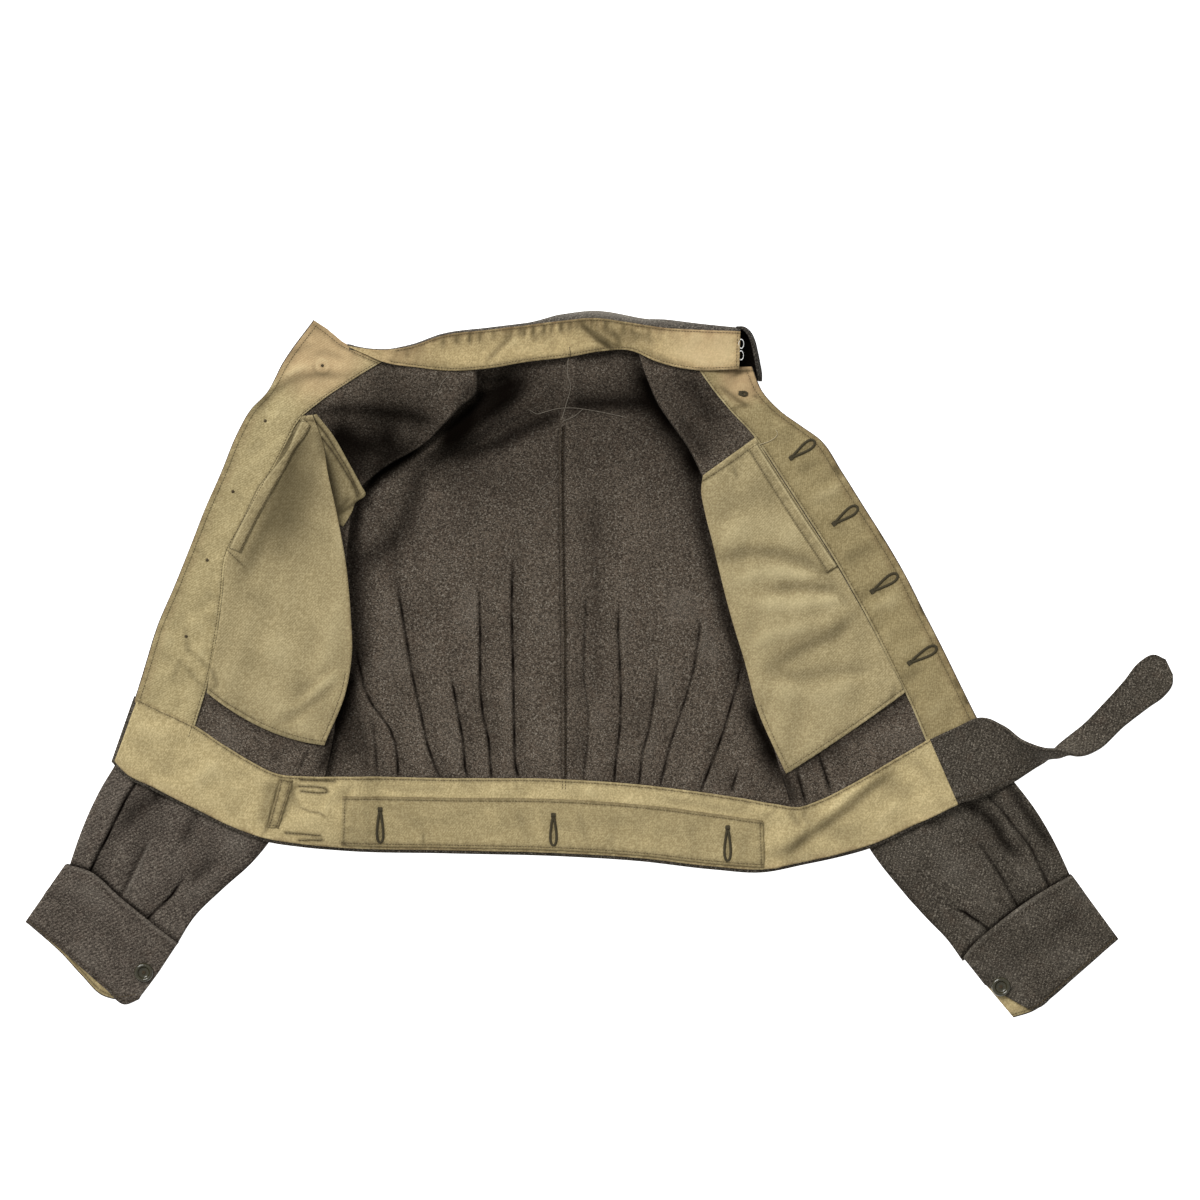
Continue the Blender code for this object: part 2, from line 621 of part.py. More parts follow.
    def bag(self, name, rows, count, shares, thickness):
        """Pocket bag or a layer of it, hanging from its seam over the front."""
        at = stations([column(rows, "seam_x", "seam_y"), column(rows, "free_x", "free_y")], count)
        plan = between(
            smooth(column(rows, "seam_x", "seam_y"), at), smooth(column(rows, "free_x", "free_y"), at), shares
        )
        shares = np.asarray(shares)
        sag = smooth(column(rows, "sag"), at)
        plan[:, :, 1] -= sag * 4.0 * shares * (1.0 - shares)
        wish = np.zeros(plan.shape[:2])
        bed = self.bench.rest(plan, wish)
        return self.lay(name, plan, bed + ridge_heights(plan, BAG_RIDGES), thickness, self.drill)

    def welt(self, side, high, last_row):
        """Narrow welt along the pocket's mouth, made from the bag's points."""
        seam = high[1:last_row, 0]
        free = high[1:last_row, -1]
        length = np.linalg.norm(free - seam, axis=1)[:, None]
        column_count = high.shape[1]
        strips = []
        for distance in (WELT_START, WELT_START + WELT_WIDTH):
            share = np.minimum(distance / length[:, 0], 0.6) * (column_count - 1)
            whole = np.minimum(share.astype(int), column_count - 2)
            part = (share - whole)[:, None]
            rows = np.arange(len(seam)) + 1
            strips.append(high[rows, whole] * (1 - part) + high[rows, whole + 1] * part)
        surface = np.stack(strips, axis=1)
        plan = surface[:, :, :2]
        self.lay(f"pocket_welt_{side}", plan, surface[:, :, 2], DRILL, self.drill)

    def band(self, name, count, shares, grow, thickness, look, ridges, first=0.0, last=None):
        """A layer of the waistband between two stations of its table."""
        top = column(WAISTBAND, "top_x", "top_y")
        low = column(WAISTBAND, "low_x", "low_y")
        last = len(WAISTBAND) - 1 if last is None else last
        at = np.interp(np.linspace(0, 1, count), np.linspace(0, 1, 400), stations([top, low], 400))
        at = first + (at - at[0]) / (at[-1] - at[0]) * (last - first)
        upper = smooth(top, at)
        lower = smooth(low, at)
        down = (lower - upper) / np.linalg.norm(lower - upper, axis=1, keepdims=True)
        plan = between(upper, lower + down * grow, shares)
        bed = self.bench.rest(plan, np.zeros(plan.shape[:2]))
        return self.lay(name, plan, bed + ridge_heights(plan, ridges), thickness, look)

    def waist_station(self, x):
        """Row number of the waistband's table at a place along X of its top edge."""
        return float(np.interp(x, [row.top_x for row in WAISTBAND], np.arange(len(WAISTBAND))))

    def strap(self):
        """Belt strap of doubled wool, turned over once."""
        first = column(STRAP, "a_x", "a_y", "a_z")
        second = column(STRAP, "b_x", "b_y", "b_z")
        at = stations([first, second], 30)
        middle = between(smooth(first, at), smooth(second, at), (0.0, 0.25, 0.5, 0.75, 1.0))
        cover = self.bench.cover()[self.bench.cells(middle)]
        flat = np.abs(normals(middle)[:, :, 2:3])
        over = np.maximum(cover + DOUBLE_WOOL / 2 - middle[:, :, 2], 0.0).max(axis=1, keepdims=True)
        middle[:, :, 2] += over
        low = raised(middle, -DOUBLE_WOOL / 2)
        high = raised(middle, DOUBLE_WOOL / 2)
        low[:, :, 2] = np.where(flat[:, :, 0] > 0.98, np.maximum(low[:, :, 2], 0.0), low[:, :, 2])
        self.wall("belt_strap", low, high, self.wool)
        self.bench.add(np.maximum(low, high))

    def collar(self):
        """Wool collar that rolls over behind its lining down to the surface, and its turned end."""
        top = column(COLLAR, "top_x", "top_y")
        seam = column(COLLAR, "seam_x", "seam_y")
        at = stations([top, seam], 27)
        top = smooth(top, at)
        seam = smooth(seam, at)
        sizes = smooth(column(COLLAR, "top_z", "seam_z", "show"), at)
        top_z, seam_z, show = (sizes[:, part:part + 1] for part in range(3))
        depth = np.linalg.norm(top - seam, axis=1, keepdims=True)
        outward = (top - seam) / depth
        half = WOOL / 2
        # Places of the wool's middle in its section: distance out from the neck seam, and height
        path = [
            (np.full_like(depth, NECK_LAP), seam_z + (top_z - seam_z) * 0.3 - SEAM - half),
            (depth * 0.6, seam_z + (top_z - seam_z) * 0.6 - SEAM - half),
            (depth - 3.0, top_z - SEAM - half),
            (depth + show * 0.55, top_z * 0.86),
            (depth + show, top_z * 0.5),
            (depth + show * 0.5, top_z * 0.16 + half * 0.7),
            (depth - 6.0, np.full_like(depth, half)),
            (depth - COLLAR_FLOOR_REACH, np.full_like(depth, half)),
        ]
        middle = np.stack([np.hstack([seam + outward * out, height]) for out, height in path], axis=1)
        low = raised(middle, -half)
        high = raised(middle, half)
        for grid in (low, high):
            grid[:, :, 2] = np.maximum(grid[:, :, 2], 0.0)
        self.wall("collar_outer", low, high, self.wool)
        self.bench.add(np.maximum(low, high))
        shares = (0.0, 0.25, 0.6, 1.0)
        self.collar_lining_plan = between(seam, top, shares)
        self.collar_lining_z = between(seam_z, top_z, shares)[:, :, 0]

    def collar_end(self):
        """Turned end of the collar: a sheet on the surface that stands up along its outer edge."""
        at = stations([column(COLLAR_END, "foot_x", "foot_y")], 9)
        floor = smooth(column(COLLAR_END, "floor_x", "floor_y"), at)
        foot = smooth(column(COLLAR_END, "foot_x", "foot_y"), at)
        top = smooth(column(COLLAR_END, "top_x", "top_y"), at)
        top_z = smooth(column(COLLAR_END, "top_z"), at)
        half = WOOL / 2
        flat = np.full((len(at), 1), half)
        toward = (foot - floor) / np.linalg.norm(foot - floor, axis=1, keepdims=True)
        middle = np.stack(
            [
                np.hstack([floor, flat]),
                np.hstack([foot - toward * 3.0, flat]),
                np.hstack([foot - toward * 0.6, flat + 2.0]),
                np.hstack([(foot + top) / 2, top_z * 0.55]),
                np.hstack([top, top_z]),
            ],
            axis=1,
        )
        low = raised(middle, -half)
        high = raised(middle, half)
        for grid in (low, high):
            grid[:, :, 2] = np.maximum(grid[:, :, 2], 0.0)
        self.wall("collar_end", low, high, self.wool)
        self.bench.add(np.maximum(low, high))

    def button(self, side, place, cuff_high):
        """Dished button, turned, seated on its cuff."""
        bed = self.bench.cover()[self.bench.cells(np.array([*place, 0.0]))]
        outline = [
            (0.0, 1.6), (4.2, 1.5), (5.6, 2.4), (6.6, BUTTON_HEIGHT), (8.6, BUTTON_HEIGHT),
            (BUTTON_RADIUS, 2.6), (BUTTON_RADIUS - 0.6, 1.0), (6.0, 0.0), (0.0, 0.0),
        ]
        bm = bmesh.new()
        points = [bm.verts.new((x * MM, 0.0, z * MM)) for x, z in outline]
        for first, last in zip(points, points[1:]):
            bm.edges.new((first, last))
        mesh = bpy.data.meshes.new(f"cuff_button_{side}")
        bm.to_mesh(mesh)
        bm.free()
        piece = self.own(f"cuff_button_{side}", mesh, ("button", BUTTON_COLOUR, 0.45, 0.3))
        piece.location = (place[0] * MM, place[1] * MM, bed * MM)
        turn = piece.modifiers.new("turn", "SCREW")
        turn.steps = 18
        turn.render_steps = 18
        turn.use_merge_vertices = True
        turn.merge_threshold = 0.00001
        return piece

    def hook_eye(self, number, place_y, edge_x, height):
        """Wire loop of a hook fastening, standing out of the collar lining's end."""
        curve = bpy.data.curves.new(f"hook_eye_{number}", "CURVE")
        curve.dimensions = "3D"
        curve.bevel_depth = EYE_WIRE_RADIUS * MM
        curve.bevel_resolution = 1
        spline = curve.splines.new("POLY")
        spline.points.add(EYE_POINTS - 1)
        spline.use_cyclic_u = True
        middle = edge_x + EYE_HALF_WIDTH + EYE_WIRE_RADIUS + SEAM
        for number_along, point in enumerate(spline.points):
            turn = 2.0 * math.pi * number_along / EYE_POINTS
            x = middle + EYE_HALF_WIDTH * math.cos(turn)
            y = place_y + EYE_HALF_HEIGHT * math.sin(turn)
            point.co = (x * MM, y * MM, height * MM, 1.0)
        piece = bpy.data.objects.new(f"hook_eye_{number}", curve)
        curve.materials.append(finish(f"hook_eye_{number}_wire", WIRE_COLOUR, 0.35, 1.0))
        self.collection.objects.link(piece)

    def centre(self):
        """Move everything so that the origin is under the middle of the garment's box."""
        bpy.context.view_layer.update()
        graph = bpy.context.evaluated_depsgraph_get()
        corners = []
        for piece in self.collection.objects:
            held = piece.evaluated_get(graph)
            mesh = held.to_mesh()
            corners += [held.matrix_world @ vert.co for vert in mesh.vertices]
            held.to_mesh_clear()
        corners = np.array(corners)
        shift = -(corners.min(axis=0) + corners.max(axis=0)) / 2
        shift[2] = -corners[:, 2].min()
        holder = bpy.data.objects.new(f"{GARMENT}_origin", None)
        self.collection.objects.link(holder)
        for piece in self.collection.objects:
            if piece is not holder:
                piece.parent = holder
        holder.location = shift


def main():
    """Lay the tunic's pieces down from the lowest to the highest."""
    for item in list(bpy.data.objects):
        bpy.data.objects.remove(item, do_unlink=True)
    tunic = Tunic()
    for side, cuff, sleeve, pleats in (
        ("left", LEFT_CUFF, LEFT_SLEEVE, LEFT_SLEEVE_PLEATS),
        ("right", RIGHT_CUFF, RIGHT_SLEEVE, RIGHT_SLEEVE_PLEATS),
    ):
        tunic.cuff_under(side, cuff)
        tunic.sleeve_under(side, sleeve)
        tunic.cuff_lining(side, cuff)
        tunic.sleeve_top(side, sleeve, pleats)
        tunic.cuff_top(side, cuff)
    across = (0.0, 0.14, 0.3, 0.65, 1.0)
    tunic.band("waistband_wool", 37, across, WOOL_BORDER, WOOL, tunic.wool, [], last=len(WAISTBAND) - 1.2)
    tunic.back("left", LEFT_BODY, LEFT_PLEATS, -SEAM)
    tunic.back("right", RIGHT_BODY, RIGHT_PLEATS, SEAM)
    tunic.front("left", LEFT_BODY)
    tunic.front("right", RIGHT_BODY)
    shares = (0.0, 0.12, 0.25, 0.42, 0.6, 0.78, 0.92, 1.0)
    tunic.bag("pocket_layer_left", LEFT_BAG_LAYER, 7, (0.0, 0.5, 1.0), DRILL)
    _, high = tunic.bag("pocket_bag_left", LEFT_BAG, 15, shares, DRILL)
    tunic.welt("left", high, 8)
    _, high = tunic.bag("pocket_bag_right", RIGHT_BAG, 15, shares, DRILL)
    tunic.welt("right", high, 7)
    tunic.strap()
    tunic.band("waistband_lining", 41, across, 0.0, DRILL, tunic.drill, BAND_RIDGES)
    tunic.band(
        "buttonhole_strip", 21, (STRIP_TOP_SHARE, 0.6, STRIP_LOW_SHARE), 0.0, DRILL, tunic.drill, [],
        tunic.waist_station(STRIP_FROM_X), tunic.waist_station(STRIP_TO_X),
    )
    tunic.band(
        "belt_loop_tuck", 3, (TUCK_TOP_SHARE, 0.3, 0.55, TUCK_LOW_SHARE), 0.0, DRILL, tunic.drill, [],
        tunic.waist_station(TUCK_FROM_X), tunic.waist_station(TUCK_TO_X),
    )
    tunic.collar_end()
    tunic.collar()
    plan = tunic.collar_lining_plan
    lining_low, _ = tunic.lay("collar_lining", plan, tunic.collar_lining_z, DRILL, tunic.drill)
    tunic.button("left", LEFT_BUTTON, None)
    tunic.button("right", RIGHT_BUTTON, None)
    end = lining_low[-1]
    for number, place_y in enumerate(EYE_PLACES, 1):
        edge_x = float(np.interp(place_y, end[:, 1], end[:, 0]))
        height = float(np.interp(place_y, end[:, 1], end[:, 2])) + DRILL / 2
        tunic.hook_eye(number, place_y, edge_x, height)
    tunic.centre()


main()
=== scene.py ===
"""Looks of a battle dress tunic, opened and laid flat on its back with the inside up.

Tables are in millimetres in the part's own plan: X to the right, Y towards the collar. Left and right
are as seen from above. Each cut piece is a fine sheet that takes its heights from its solid, gets its
pleats, creases and seams, and is then given the cloth's thickness.
"""

import json
import logging
import math
from collections import namedtuple
from collections.abc import Sequence
from dataclasses import dataclass, field
from enum import Enum, StrEnum

import bmesh
import bpy
import numpy as np
from mathutils import Matrix, Vector
from mathutils.bvhtree import BVHTree
from numpy.linalg import norm

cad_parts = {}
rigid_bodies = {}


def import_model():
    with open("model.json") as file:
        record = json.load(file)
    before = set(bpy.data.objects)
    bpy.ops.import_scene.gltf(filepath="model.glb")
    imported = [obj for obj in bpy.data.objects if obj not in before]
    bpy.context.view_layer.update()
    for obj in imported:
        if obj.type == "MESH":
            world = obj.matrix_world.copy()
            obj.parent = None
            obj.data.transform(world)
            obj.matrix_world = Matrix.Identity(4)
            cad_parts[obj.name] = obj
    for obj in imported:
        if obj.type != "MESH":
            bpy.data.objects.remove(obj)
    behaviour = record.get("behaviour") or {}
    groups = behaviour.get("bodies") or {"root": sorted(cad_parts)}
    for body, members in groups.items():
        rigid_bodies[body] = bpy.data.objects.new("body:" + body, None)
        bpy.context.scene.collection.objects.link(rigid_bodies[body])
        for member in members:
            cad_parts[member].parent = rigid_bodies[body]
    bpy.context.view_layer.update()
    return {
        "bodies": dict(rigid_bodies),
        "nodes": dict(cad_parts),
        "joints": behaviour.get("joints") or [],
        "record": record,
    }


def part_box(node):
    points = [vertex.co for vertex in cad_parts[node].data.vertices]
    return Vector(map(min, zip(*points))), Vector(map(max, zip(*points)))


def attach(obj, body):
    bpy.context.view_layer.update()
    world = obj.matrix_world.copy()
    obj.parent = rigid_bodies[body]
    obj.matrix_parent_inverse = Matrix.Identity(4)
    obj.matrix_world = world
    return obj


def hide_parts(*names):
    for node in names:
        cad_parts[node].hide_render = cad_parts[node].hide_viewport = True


LOG = logging.getLogger("tunic")
MM = 0.001
# From the origin of the tables to the part's own.
SHIFT = np.array([0.5, -0.93])
# Thickness of the two cloths, and the gap between layers of cloth.
WOOL = 2.0
DRILL = 0.9
CLEARANCE = 0.25
# Cover that is lower than this is the bare floor.
BARE = 0.05
# Distance of a sheet's points.
SPACING = 2.4
# Cells of the map of heights, and how far it reaches from its middle.
CELL = 2.0
REACH = np.array([650.0, 410.0])
# Least area of a sheet as a share of its width by its length.
LEAST_AREA = 0.31

Grid = np.ndarray
Colour = tuple[float, float, float]
Course = Sequence[tuple[float, float]]
Socket = bpy.types.NodeSocket

BodyRow = namedtuple("BodyRow", "edge_x edge_y facing_x facing_y fold_x fold_y seam_y")
BagRow = namedtuple("BagRow", "seam_x seam_y free_x free_y sag", defaults=(0,))
BandRow = namedtuple("BandRow", "top_x top_y low_x low_y")
StrapRow = namedtuple("StrapRow", "a_x a_y a_z b_x b_y b_z")
CollarRow = namedtuple("CollarRow", "top_x top_y seam_x seam_y top_z seam_z show")
CollarEndRow = namedtuple("CollarEndRow", "floor_x floor_y foot_x foot_y top_x top_y top_z")
SleeveRow = namedtuple("SleeveRow", "out_x out_y in_x in_y")
CuffRow = namedtuple("CuffRow", "seam_x seam_y mid_x mid_y end_x end_y under_x under_y")
# The shade of a crease or fold is painted shade along it, or a painted highlight where it is below zero.
Crease = namedtuple("Crease", "points width height shade")
Fold = namedtuple("Fold", "points rise shade fade")
Buttonhole = namedtuple("Buttonhole", "bar_x bar_y eye_x eye_y")


def table(kind: type, *rows: Sequence[float]) -> tuple:
    """Rows of a table, each as a named tuple."""
    return tuple(kind(*row) for row in rows)


def drawn(kind: type, *rows: Sequence[float]) -> tuple:
    """Creases or folds, from rows of their three values and then the x and y of each point."""
    return tuple(kind(tuple(zip(row[3::2], row[4::2])), *row[:3]) for row in rows)


LEFT_BODY = table(
    BodyRow, (-301, 362.5, -228, 318, -132, 312, 332), (-333, 318, -262, 297, -133, 286, 301),
    (-350, 286, -293, 276, -152, 268, 281), (-367, 268, -314, 258, -182, 235, 256),
    (-381, 243, -331, 226, -232, 204, 226), (-397, 204, -351, 189, -258, 178, 195),
    (-415, 163, -373, 149, -264, 142, 156), (-431, 122, -391, 115, -268, 106, 112),
    (-448, 80, -396, 72, -271, 62, 66), (-464, 43, -402, 30, -274, 20, 22),
    (-476, 5, -409, -10, -277, -28, -28), (-484, -22, -420, -48, -283, -90, -84),
    (-489, -38, -430, -80, -293, -134, -131),
)
RIGHT_BODY = table(
    BodyRow, (160, 313, 102, 312, 40, 331, 332), (170, 288, 119, 288, 49, 303, 301),
    (188, 268, 138, 265, 62, 276, 281), (212, 250.5, 158, 244, 80, 249, 256),
    (232, 236, 172, 225, 97, 224, 226), (254, 203, 193, 193, 110, 195, 195),
    (276, 168, 217, 156, 117, 160, 156), (300, 130, 242, 117, 126, 122, 112), (322, 92, 263, 81, 136, 82, 72),
    (341, 54, 287, 37, 149, 38, 30), (361, 15, 305, 1, 162, -10, -12), (380, -24, 324, -37, 178, -68, -62),
    (397, -58, 343, -82, 206, -160, -131),
)
LEFT_FOLDS = drawn(
    Fold, (1.3, 0.9, 22, -92, 118, -93, 60, -91, -16, -90, -79, -89, -104, -86, -117),
    (1.4, 0.9, 22, -127, 84, -126, 32, -126, -25, -123, -53, -117, -79, -115, -104, -114, -117),
    (1.3, 0.9, 22, -158, -3, -154, -25, -148, -57, -143, -85, -142, -107, -139, -117),
    (1.6, 0.85, 22, -214, 93, -208, 54, -196, -16, -189, -47, -181, -85, -173, -107, -168, -117),
    (1.6, 0.85, 22, -260, 28, -247, -25, -241, -39, -221, -66, -215, -82, -213, -97, -212, -117),
    (1, 0.6, 22, -240, -48, -236, -85, -234, -117),
)
RIGHT_FOLDS = drawn(
    Fold, (1, 0.55, 22, -14, 85, -16, 32, -17, -16, -12, -50, -13, -79, -17, -120),
    (1.5, 0.85, 22, 20, 72, 19, 35, 21, 0, 22, -31, 21, -66, 17, -97, 15, -124),
    (1.4, 0.8, 22, 60, 4, 59, -19, 56, -41, 52, -66, 45, -91, 41, -126),
    (1.6, 0.8, 22, 107, 58, 104, 32, 99, -3, 91, -31, 83, -57, 75, -79, 63, -128),
    (1.7, 0.9, 22, 148, 10, 145, -16, 138, -41, 130, -69, 121, -94, 106, -132),
    (1.3, 0.8, 22, 150, -98, 143, -116, 138, -134),
)
LEFT_BAG = table(
    BagRow, (-309, 261, -301, 262), (-321, 241, -290, 232), (-335, 215, -284, 200), (-350, 186, -277, 168),
    (-369, 152, -270, 132), (-388, 116, -265, 96), (-393, 72, -261, 50), (-399, 30, -260, 14, 1),
    (-406, -6, -266, -26, 4), (-410, -30, -289, -84, 11),
)
RIGHT_BAG = table(
    BagRow, (160.5, 237, 108, 199), (177, 211, 106, 184), (196, 182, 110, 160), (216, 151, 117, 132),
    (239, 115, 126, 95), (260, 79, 137, 52), (283, 38, 151, 6), (302, 1, 165, -46), (318, -30, 195, -114, 2),
)
LEFT_BAG_LAYER = table(
    BagRow, (-300, 262, -297, 263), (-294, 240, -281, 243), (-289, 215, -263, 212), (-285, 197, -250, 188),
    (-282, 184, -245.5, 179), (-280, 174, -257, 169), (-278, 165, -259, 163), (-274, 148, -269, 145),
)
WAISTBAND = table(
    BandRow, (-488, -33, -511, -99), (-462, -46, -498, -113), (-426, -63, -467, -129),
    (-394, -84, -424, -151), (-366, -101, -385, -170), (-339, -114, -350, -182), (-305, -117, -312, -188),
    (-269, -117, -272, -192), (-160, -119, -160, -195), (-42, -120, -42, -198), (44, -126, 40, -203),
    (129, -137, 120, -212), (185, -146, 172, -215), (208, -149, 213, -207), (232, -141, 248, -199),
    (258, -128, 283, -189), (302, -103, 329, -168), (345, -77, 375, -146),
)
STRAP = table(
    StrapRow, (343, -79, 11, 372, -146, 11), (372, -66, 11.5, 402, -138, 10), (401, -55, 13, 424, -128, 9),
    (421, -63, 20, 441, -119, 5), (441, -79, 31, 457, -108, 2), (463, -86.5, 36, 470, -99.5, 1.6),
    (480, -88, 34, 478, -89, 1.6), (497, -94, 28, 490, -78, 1.6), (524, -88, 12, 505, -65.5, 1.6),
    (551, -65, 1.6, 527, -43.5, 1.6), (577, -45, 1.6, 551, -17, 1.6), (594, -32.5, 1.6, 568, 3.5, 1.6),
    (602, -21, 1.6, 582, 11, 1.6), (602.5, -10, 1.6, 595, 6, 1.6),
)
TUCK = table(
    BandRow, (-335, -118, -322, -121), (-339, -134, -326.5, -137), (-344, -152, -332, -154),
    (-349, -170, -337.5, -171),
)
COLLAR = table(
    CollarRow, (-264, 334.6, -263, 333, 14, 15, 0.8), (-243, 330.8, -246, 325.6, 13, 17, 1),
    (-221, 330.3, -229, 318, 13, 18, 1.2), (-198, 334, -189, 311.5, 16, 19, 1.5),
    (-165, 345, -157, 308, 18, 19, 1.5), (-117, 351, -122, 310, 19, 17, 2), (-74, 356, -74, 318, 19, 14, 2.5),
    (-42, 360, -31, 323, 19, 13, 7), (-5, 363, -1, 328.5, 19, 13, 8), (42, 356.5, 31, 329.5, 19, 14, 7),
    (68, 353, 60, 317.5, 18, 15, 9), (105, 351, 100, 309, 18, 15, 6.4), (147, 349.5, 145.7, 310, 17, 15, 3.6),
)
COLLAR_END = table(
    CollarEndRow, (136, 345, 143.5, 354.6, 143, 353.6, 15), (141, 344, 151.5, 354.4, 150, 352.8, 15),
    (143, 340, 158.2, 349, 155.5, 347, 16), (139, 333, 162, 341, 158.8, 340, 16),
    (139, 325, 165, 329, 161.6, 328.5, 16), (139, 316, 167.5, 317, 163.9, 317, 15),
    (139, 308, 169.5, 305, 166.2, 305, 13), (150, 302, 169.5, 298, 167.4, 298, 8),
)
LEFT_SLEEVE = table(
    SleeveRow, (-558, -213, -446, -296), (-553, -198, -428, -267), (-541, -165, -396, -235),
    (-526, -133, -366, -208), (-508, -102, -341, -176), (-480, -36, -318, -122), (-447, 36, -302, -50),
    (-410, 124, -294, 40), (-376, 200, -288, 132), (-336, 270, -268, 214),
)
RIGHT_SLEEVE = table(
    SleeveRow, (495, -224, 381, -311), (486, -204, 366, -290), (472, -176, 343, -266), (456, -150, 318, -238),
    (436, -124, 284, -194), (388, -58, 258, -140), (352, 8, 236, -70), (304, 90, 212, 20),
    (258, 168, 184, 104), (212, 234, 148, 182),
)
LEFT_SLEEVE_FOLDS = drawn(
    Fold, (-2.2, 1, 8, -480, -108, -486, -121, -498, -141, -510, -165, -517, -180, -525, -195, -536, -218),
    (-1, -0.3, 20, -466, -165, -480, -192, -489, -214, -497, -229, -506, -246),
    (2, 1, 12, -434, -220, -444, -233, -450, -242, -463, -254, -478, -269),
)
RIGHT_SLEEVE_FOLDS = drawn(
    Fold, (1.2, 0.75, 14, 402, -130, 411, -141, 424, -155, 437, -172, 452, -191, 461, -210, 473, -236),
    (1.2, 0.72, 30, 390, -175, 394, -182, 407, -200, 422, -223, 431, -240, 441, -257),
    (1.8, 1, 10, 366, -254, 382, -259, 394, -267, 403, -273, 411, -282),
)
LEFT_SLEEVE_CREASES = drawn(
    Crease, (9, -2.2, 0.62, -446, -126, -466, -136, -480, -147, -493, -160, -503, -176),
    (9, -1, 0.45, -470, -134, -456, -140), (6, -1, 0.3, -472, -165, -486, -192, -496, -214, -504, -232),
    (2, -0.8, 0.65, -472, -178, -480, -195, -489, -214, -504, -244),
    (2, 0.5, -0.22, -469, -179, -477, -196, -486, -215, -501, -245),
    (7, -1.8, 0.5, -416, -146, -425, -158, -433, -175, -442, -190),
    (8, 1.4, -0.06, -392, -205, -420, -232, -450, -258), (8, -1.6, 0.5, -404, -204, -416, -214, -432, -228),
    (8, 1, -0.05, -380, -180, -400, -200), (5, 0, 0.45, -345, -172, -368, -207, -398, -234, -430, -266),
    (9, 1.2, -0.06, -520, -140, -535, -170, -548, -200),
)
RIGHT_SLEEVE_CREASES = drawn(
    Crease, (7, -2.4, 0.85, 374, -142, 388, -148, 402, -155, 414, -167, 422, -182, 431, -193, 444, -202),
    (6, -2, 0.75, 428, -122, 434, -133, 443, -148, 454, -163, 467, -180, 477, -196),
    (5, 1.4, -0.08, 395, -146, 415, -158, 428, -175, 440, -192),
    (14, 1.2, -0.04, 345, -170, 360, -200, 380, -235),
    (5, 0, 0.4, 290, -196, 318, -238, 343, -266, 366, -290),
)
LEFT_CUFF = table(
    CuffRow, (-561, -209, -583, -240, -604, -270, -602, -272),
    (-536, -216, -553, -256, -569, -297, -566, -304), (-503, -244, -524, -282, -544, -319, -545, -327),
    (-476, -266, -499, -303, -520, -340, -523, -348), (-456, -282, -479, -318, -499, -357, -507, -352),
    (-443, -292, -463, -322, -485, -351.5, -490, -349),
)
RIGHT_CUFF = table(
    CuffRow, (495, -220, 520, -254, 545, -288, 544, -289), (470, -234, 497, -270, 524, -306, 523, -308),
    (439, -254, 470, -291, 500, -327, 499, -329), (408, -279, 442, -315, 477, -347, 474, -351),
    (393, -292, 423, -325, 464, -359, 456, -364), (381, -307, 404, -336, 453, -363, 435, -371),
)
FRONT_BUTTONHOLES = table(
    Buttonhole, (200, 217, 225, 235), (245, 148, 270, 166), (285, 77, 312, 95), (324, 2, 353, 19),
)
WAIST_BUTTONHOLES = table(
    Buttonhole, (-231, -151, -231, -187), (-49, -157, -49, -190), (134, -170, 134, -206),
)
TOP_BUTTONHOLE = Buttonhole(147, 285, 154, 284)
BUTTON_THREADS = ((-291, 314), (-351, 256), (-385, 182), (-412, 110), (-434, 30))


class Side(StrEnum):
    """A side of the tunic as seen from above."""

    LEFT = "left"
    RIGHT = "right"


class Slot(Enum):
    """Material slots of the part's record."""

    WOOL_INSIDE = "wool_inside"
    WOOL_OUTSIDE = "wool_outside"
    DRILL = "drill"
    BUTTON = "button"
    WIRE = "wire"


class Thread(Enum):
    """Thread colours, as linear RGB."""

    OLIVE = (0.115, 0.085, 0.042)
    BROWN = (0.060, 0.042, 0.022)
    BUTTONHOLE = (0.058, 0.047, 0.024)
    PALE = (0.220, 0.190, 0.150)
    LIGHT = (0.50, 0.42, 0.26)


def column(rows: Sequence, *names: str) -> Grid:
    """Named columns of a table as an array of points."""
    return np.array([[getattr(row, name) for name in names] for row in rows], float)


def rail(rows: Sequence, part: str) -> Grid:
    """The plan points of one named edge of a table."""
    return column(rows, f"{part}_x", f"{part}_y")


def extent(line: Grid) -> float:
    """Length of a line of points."""
    return norm(np.diff(line, axis=0), axis=1).sum()


def travel(line: Grid) -> Grid:
    """Length along a line at each of its points."""
    return np.concatenate([[0.0], np.cumsum(norm(np.diff(line, axis=0), axis=1))])


def unit(steps: Grid) -> Grid:
    """Directions of a list of steps."""
    return steps / norm(steps, axis=1, keepdims=True)


def apart(plan: Grid, line: Grid) -> Grid:
    """Distance of plan points from one of their own rows or columns."""
    return norm(plan - line, axis=2)


def bell(away: Grid, width: float, middle: float = 0.0) -> Grid:
    """Bell curve that is one at its middle and falls off over a width."""
    return np.exp(-(((away - middle) / width) ** 2))


def stations(rails: Sequence[Grid], count: int) -> Grid:
    """Even steps along the mean path of a set of rails, as fractional row numbers."""
    steps = np.mean([norm(np.diff(line, axis=0), axis=1) for line in rails], axis=0)
    along = np.concatenate([[0.0], np.cumsum(steps)])
    return np.interp(np.linspace(0.0, along[-1], count), along, np.arange(len(along)))


